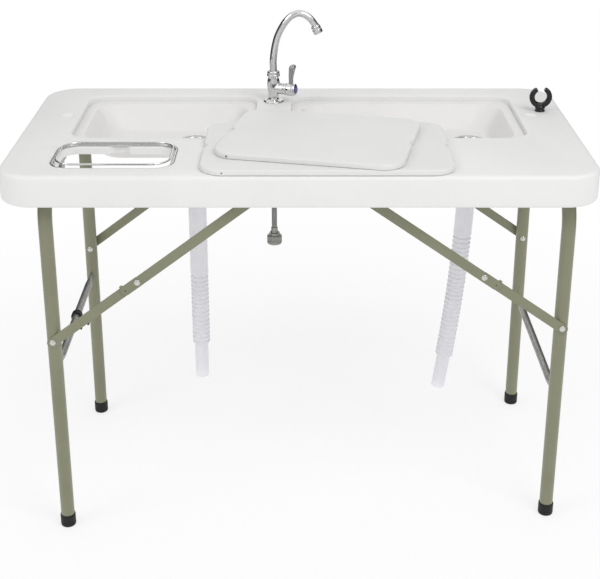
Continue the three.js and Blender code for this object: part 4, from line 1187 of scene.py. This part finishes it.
# The studio: a pale floor, even light, two soft lamps, and dark and grey cards that only reflections see
floorForm = {"half": 14, "fadeFrom": 0.6, "fadeTo": 1.7, "leastGlow": 0.7}
cards = [
    ("leftCard", (-3.2, -3.4), (-3.2, -2.5), 2.6, "2a2a2a"),
    ("rightCard", (3.2, -3.4), (3.2, -2.5), 2.6, "2a2a2a"),
    ("frontCard", (-1.1, -4.4), (-0.6, -4.4), 3.4, "202020"),
    ("otherCard", (0.9, -4.4), (1.5, -4.4), 3.4, "202020"),
    ("leftGrey", (-2.4, -1.2), (-2.4, 0.9), 2.4, "5c5c5c"),
    ("rightGrey", (2.4, -0.9), (2.4, 0.9), 2.4, "6e6e6e"),
    ("backLeft", (-2.3, 0.9), (-0.9, 2.4), 2.4, "101010"),
    ("backRight", (2.3, 0.9), (0.9, 2.4), 2.4, "161616"),
]
lamps = [
    {"name": "keyLight", "place": (1.5, -1.9, 3.2), "size": 1.9, "power": 38},
    {"name": "fillLight", "place": (-2.4, -1.5, 2.7), "size": 1.6, "power": 19},
]
lampsLookAt = Vector((0, 0, 0.7))
sky = {"light": 0.68, "seen": 1.0}
white = (1, 1, 1, 1)


def stageSheet(name, corners, seen, shade):
    mesh = bpy.data.meshes.new(name)
    mesh.from_pydata(corners, [], [(0, 1, 2, 3)])
    made = Finish(name, {"Roughness": 0.9, "Specular IOR Level": 0.1})
    made.coloured(made.patches(0.3, 0.7, 1.0, 0.6, 2.0, 0.5), seen, shade)
    mesh.materials.append(made.material)
    sheet = placed(name, mesh)
    return sheet, made


# the floor keeps the shadow near the table and goes over into plain white further out
far = floorForm["half"]
corners = [(-far, -far, 0), (far, -far, 0), (far, far, 0), (-far, far, 0)]
floorFinish = stageSheet("floor", corners, "ffffff", "fdfdfd")[1]
away = floorFinish.node("ShaderNodeVectorMath", {"operation": "LENGTH"}, {0: floorFinish.place}, 1)
share = floorFinish.ranged(away, floorForm["fadeFrom"], floorForm["fadeTo"], floorForm["leastGlow"], 1.0)
glow = floorFinish.node("ShaderNodeEmission", {}, {"Color": white, "Strength": 1.0})
lit = Term(floorFinish.tree, floorFinish.surface.outputs[0])
floorFinish.ends("Material Output", floorFinish.node("ShaderNodeMixShader", {}, {0: share, 1: lit, 2: glow}))

for name, start, end, high, colour in cards:
    corners = [(*start, 0.02), (*end, 0.02), (*end, high), (*start, high)]
    card = stageSheet(name, corners, colour, colour)[0]
    card.visible_camera = False
    card.visible_diffuse = False
    card.visible_shadow = False
    card.visible_transmission = False

world = bpy.data.worlds.new("studio")
bpy.context.scene.world = world
world.use_nodes = True
around = Tree(world.node_tree)
around.tree.nodes.remove(around.tree.nodes["Background"])
seen = around.node("ShaderNodeLightPath", {}, {}, "Is Camera Ray")
for ray in ("Is Glossy Ray", "Is Transmission Ray"):
    seen = seen.combined("MAXIMUM", seen, around.node("ShaderNodeLightPath", {}, {}, ray))
lightSky = around.node("ShaderNodeBackground", {}, {"Color": white, "Strength": sky["light"]})
seenSky = around.node("ShaderNodeBackground", {}, {"Color": white, "Strength": sky["seen"]})
around.ends("World Output", around.node("ShaderNodeMixShader", {}, {0: seen, 1: lightSky, 2: seenSky}))
for lamp in lamps:
    light = bpy.data.lights.new(lamp["name"], "AREA")
    light.shape = "DISK"
    light.size = lamp["size"]
    light.energy = lamp["power"]
    stand = placed(lamp["name"], light)
    stand.location = lamp["place"]
    stand.rotation_euler = (lampsLookAt - Vector(lamp["place"])).to_track_quat("-Z", "Y").to_euler()
bpy.context.scene.view_settings.view_transform = "Standard"
print("studio set")

bpy.context.view_layer.update()
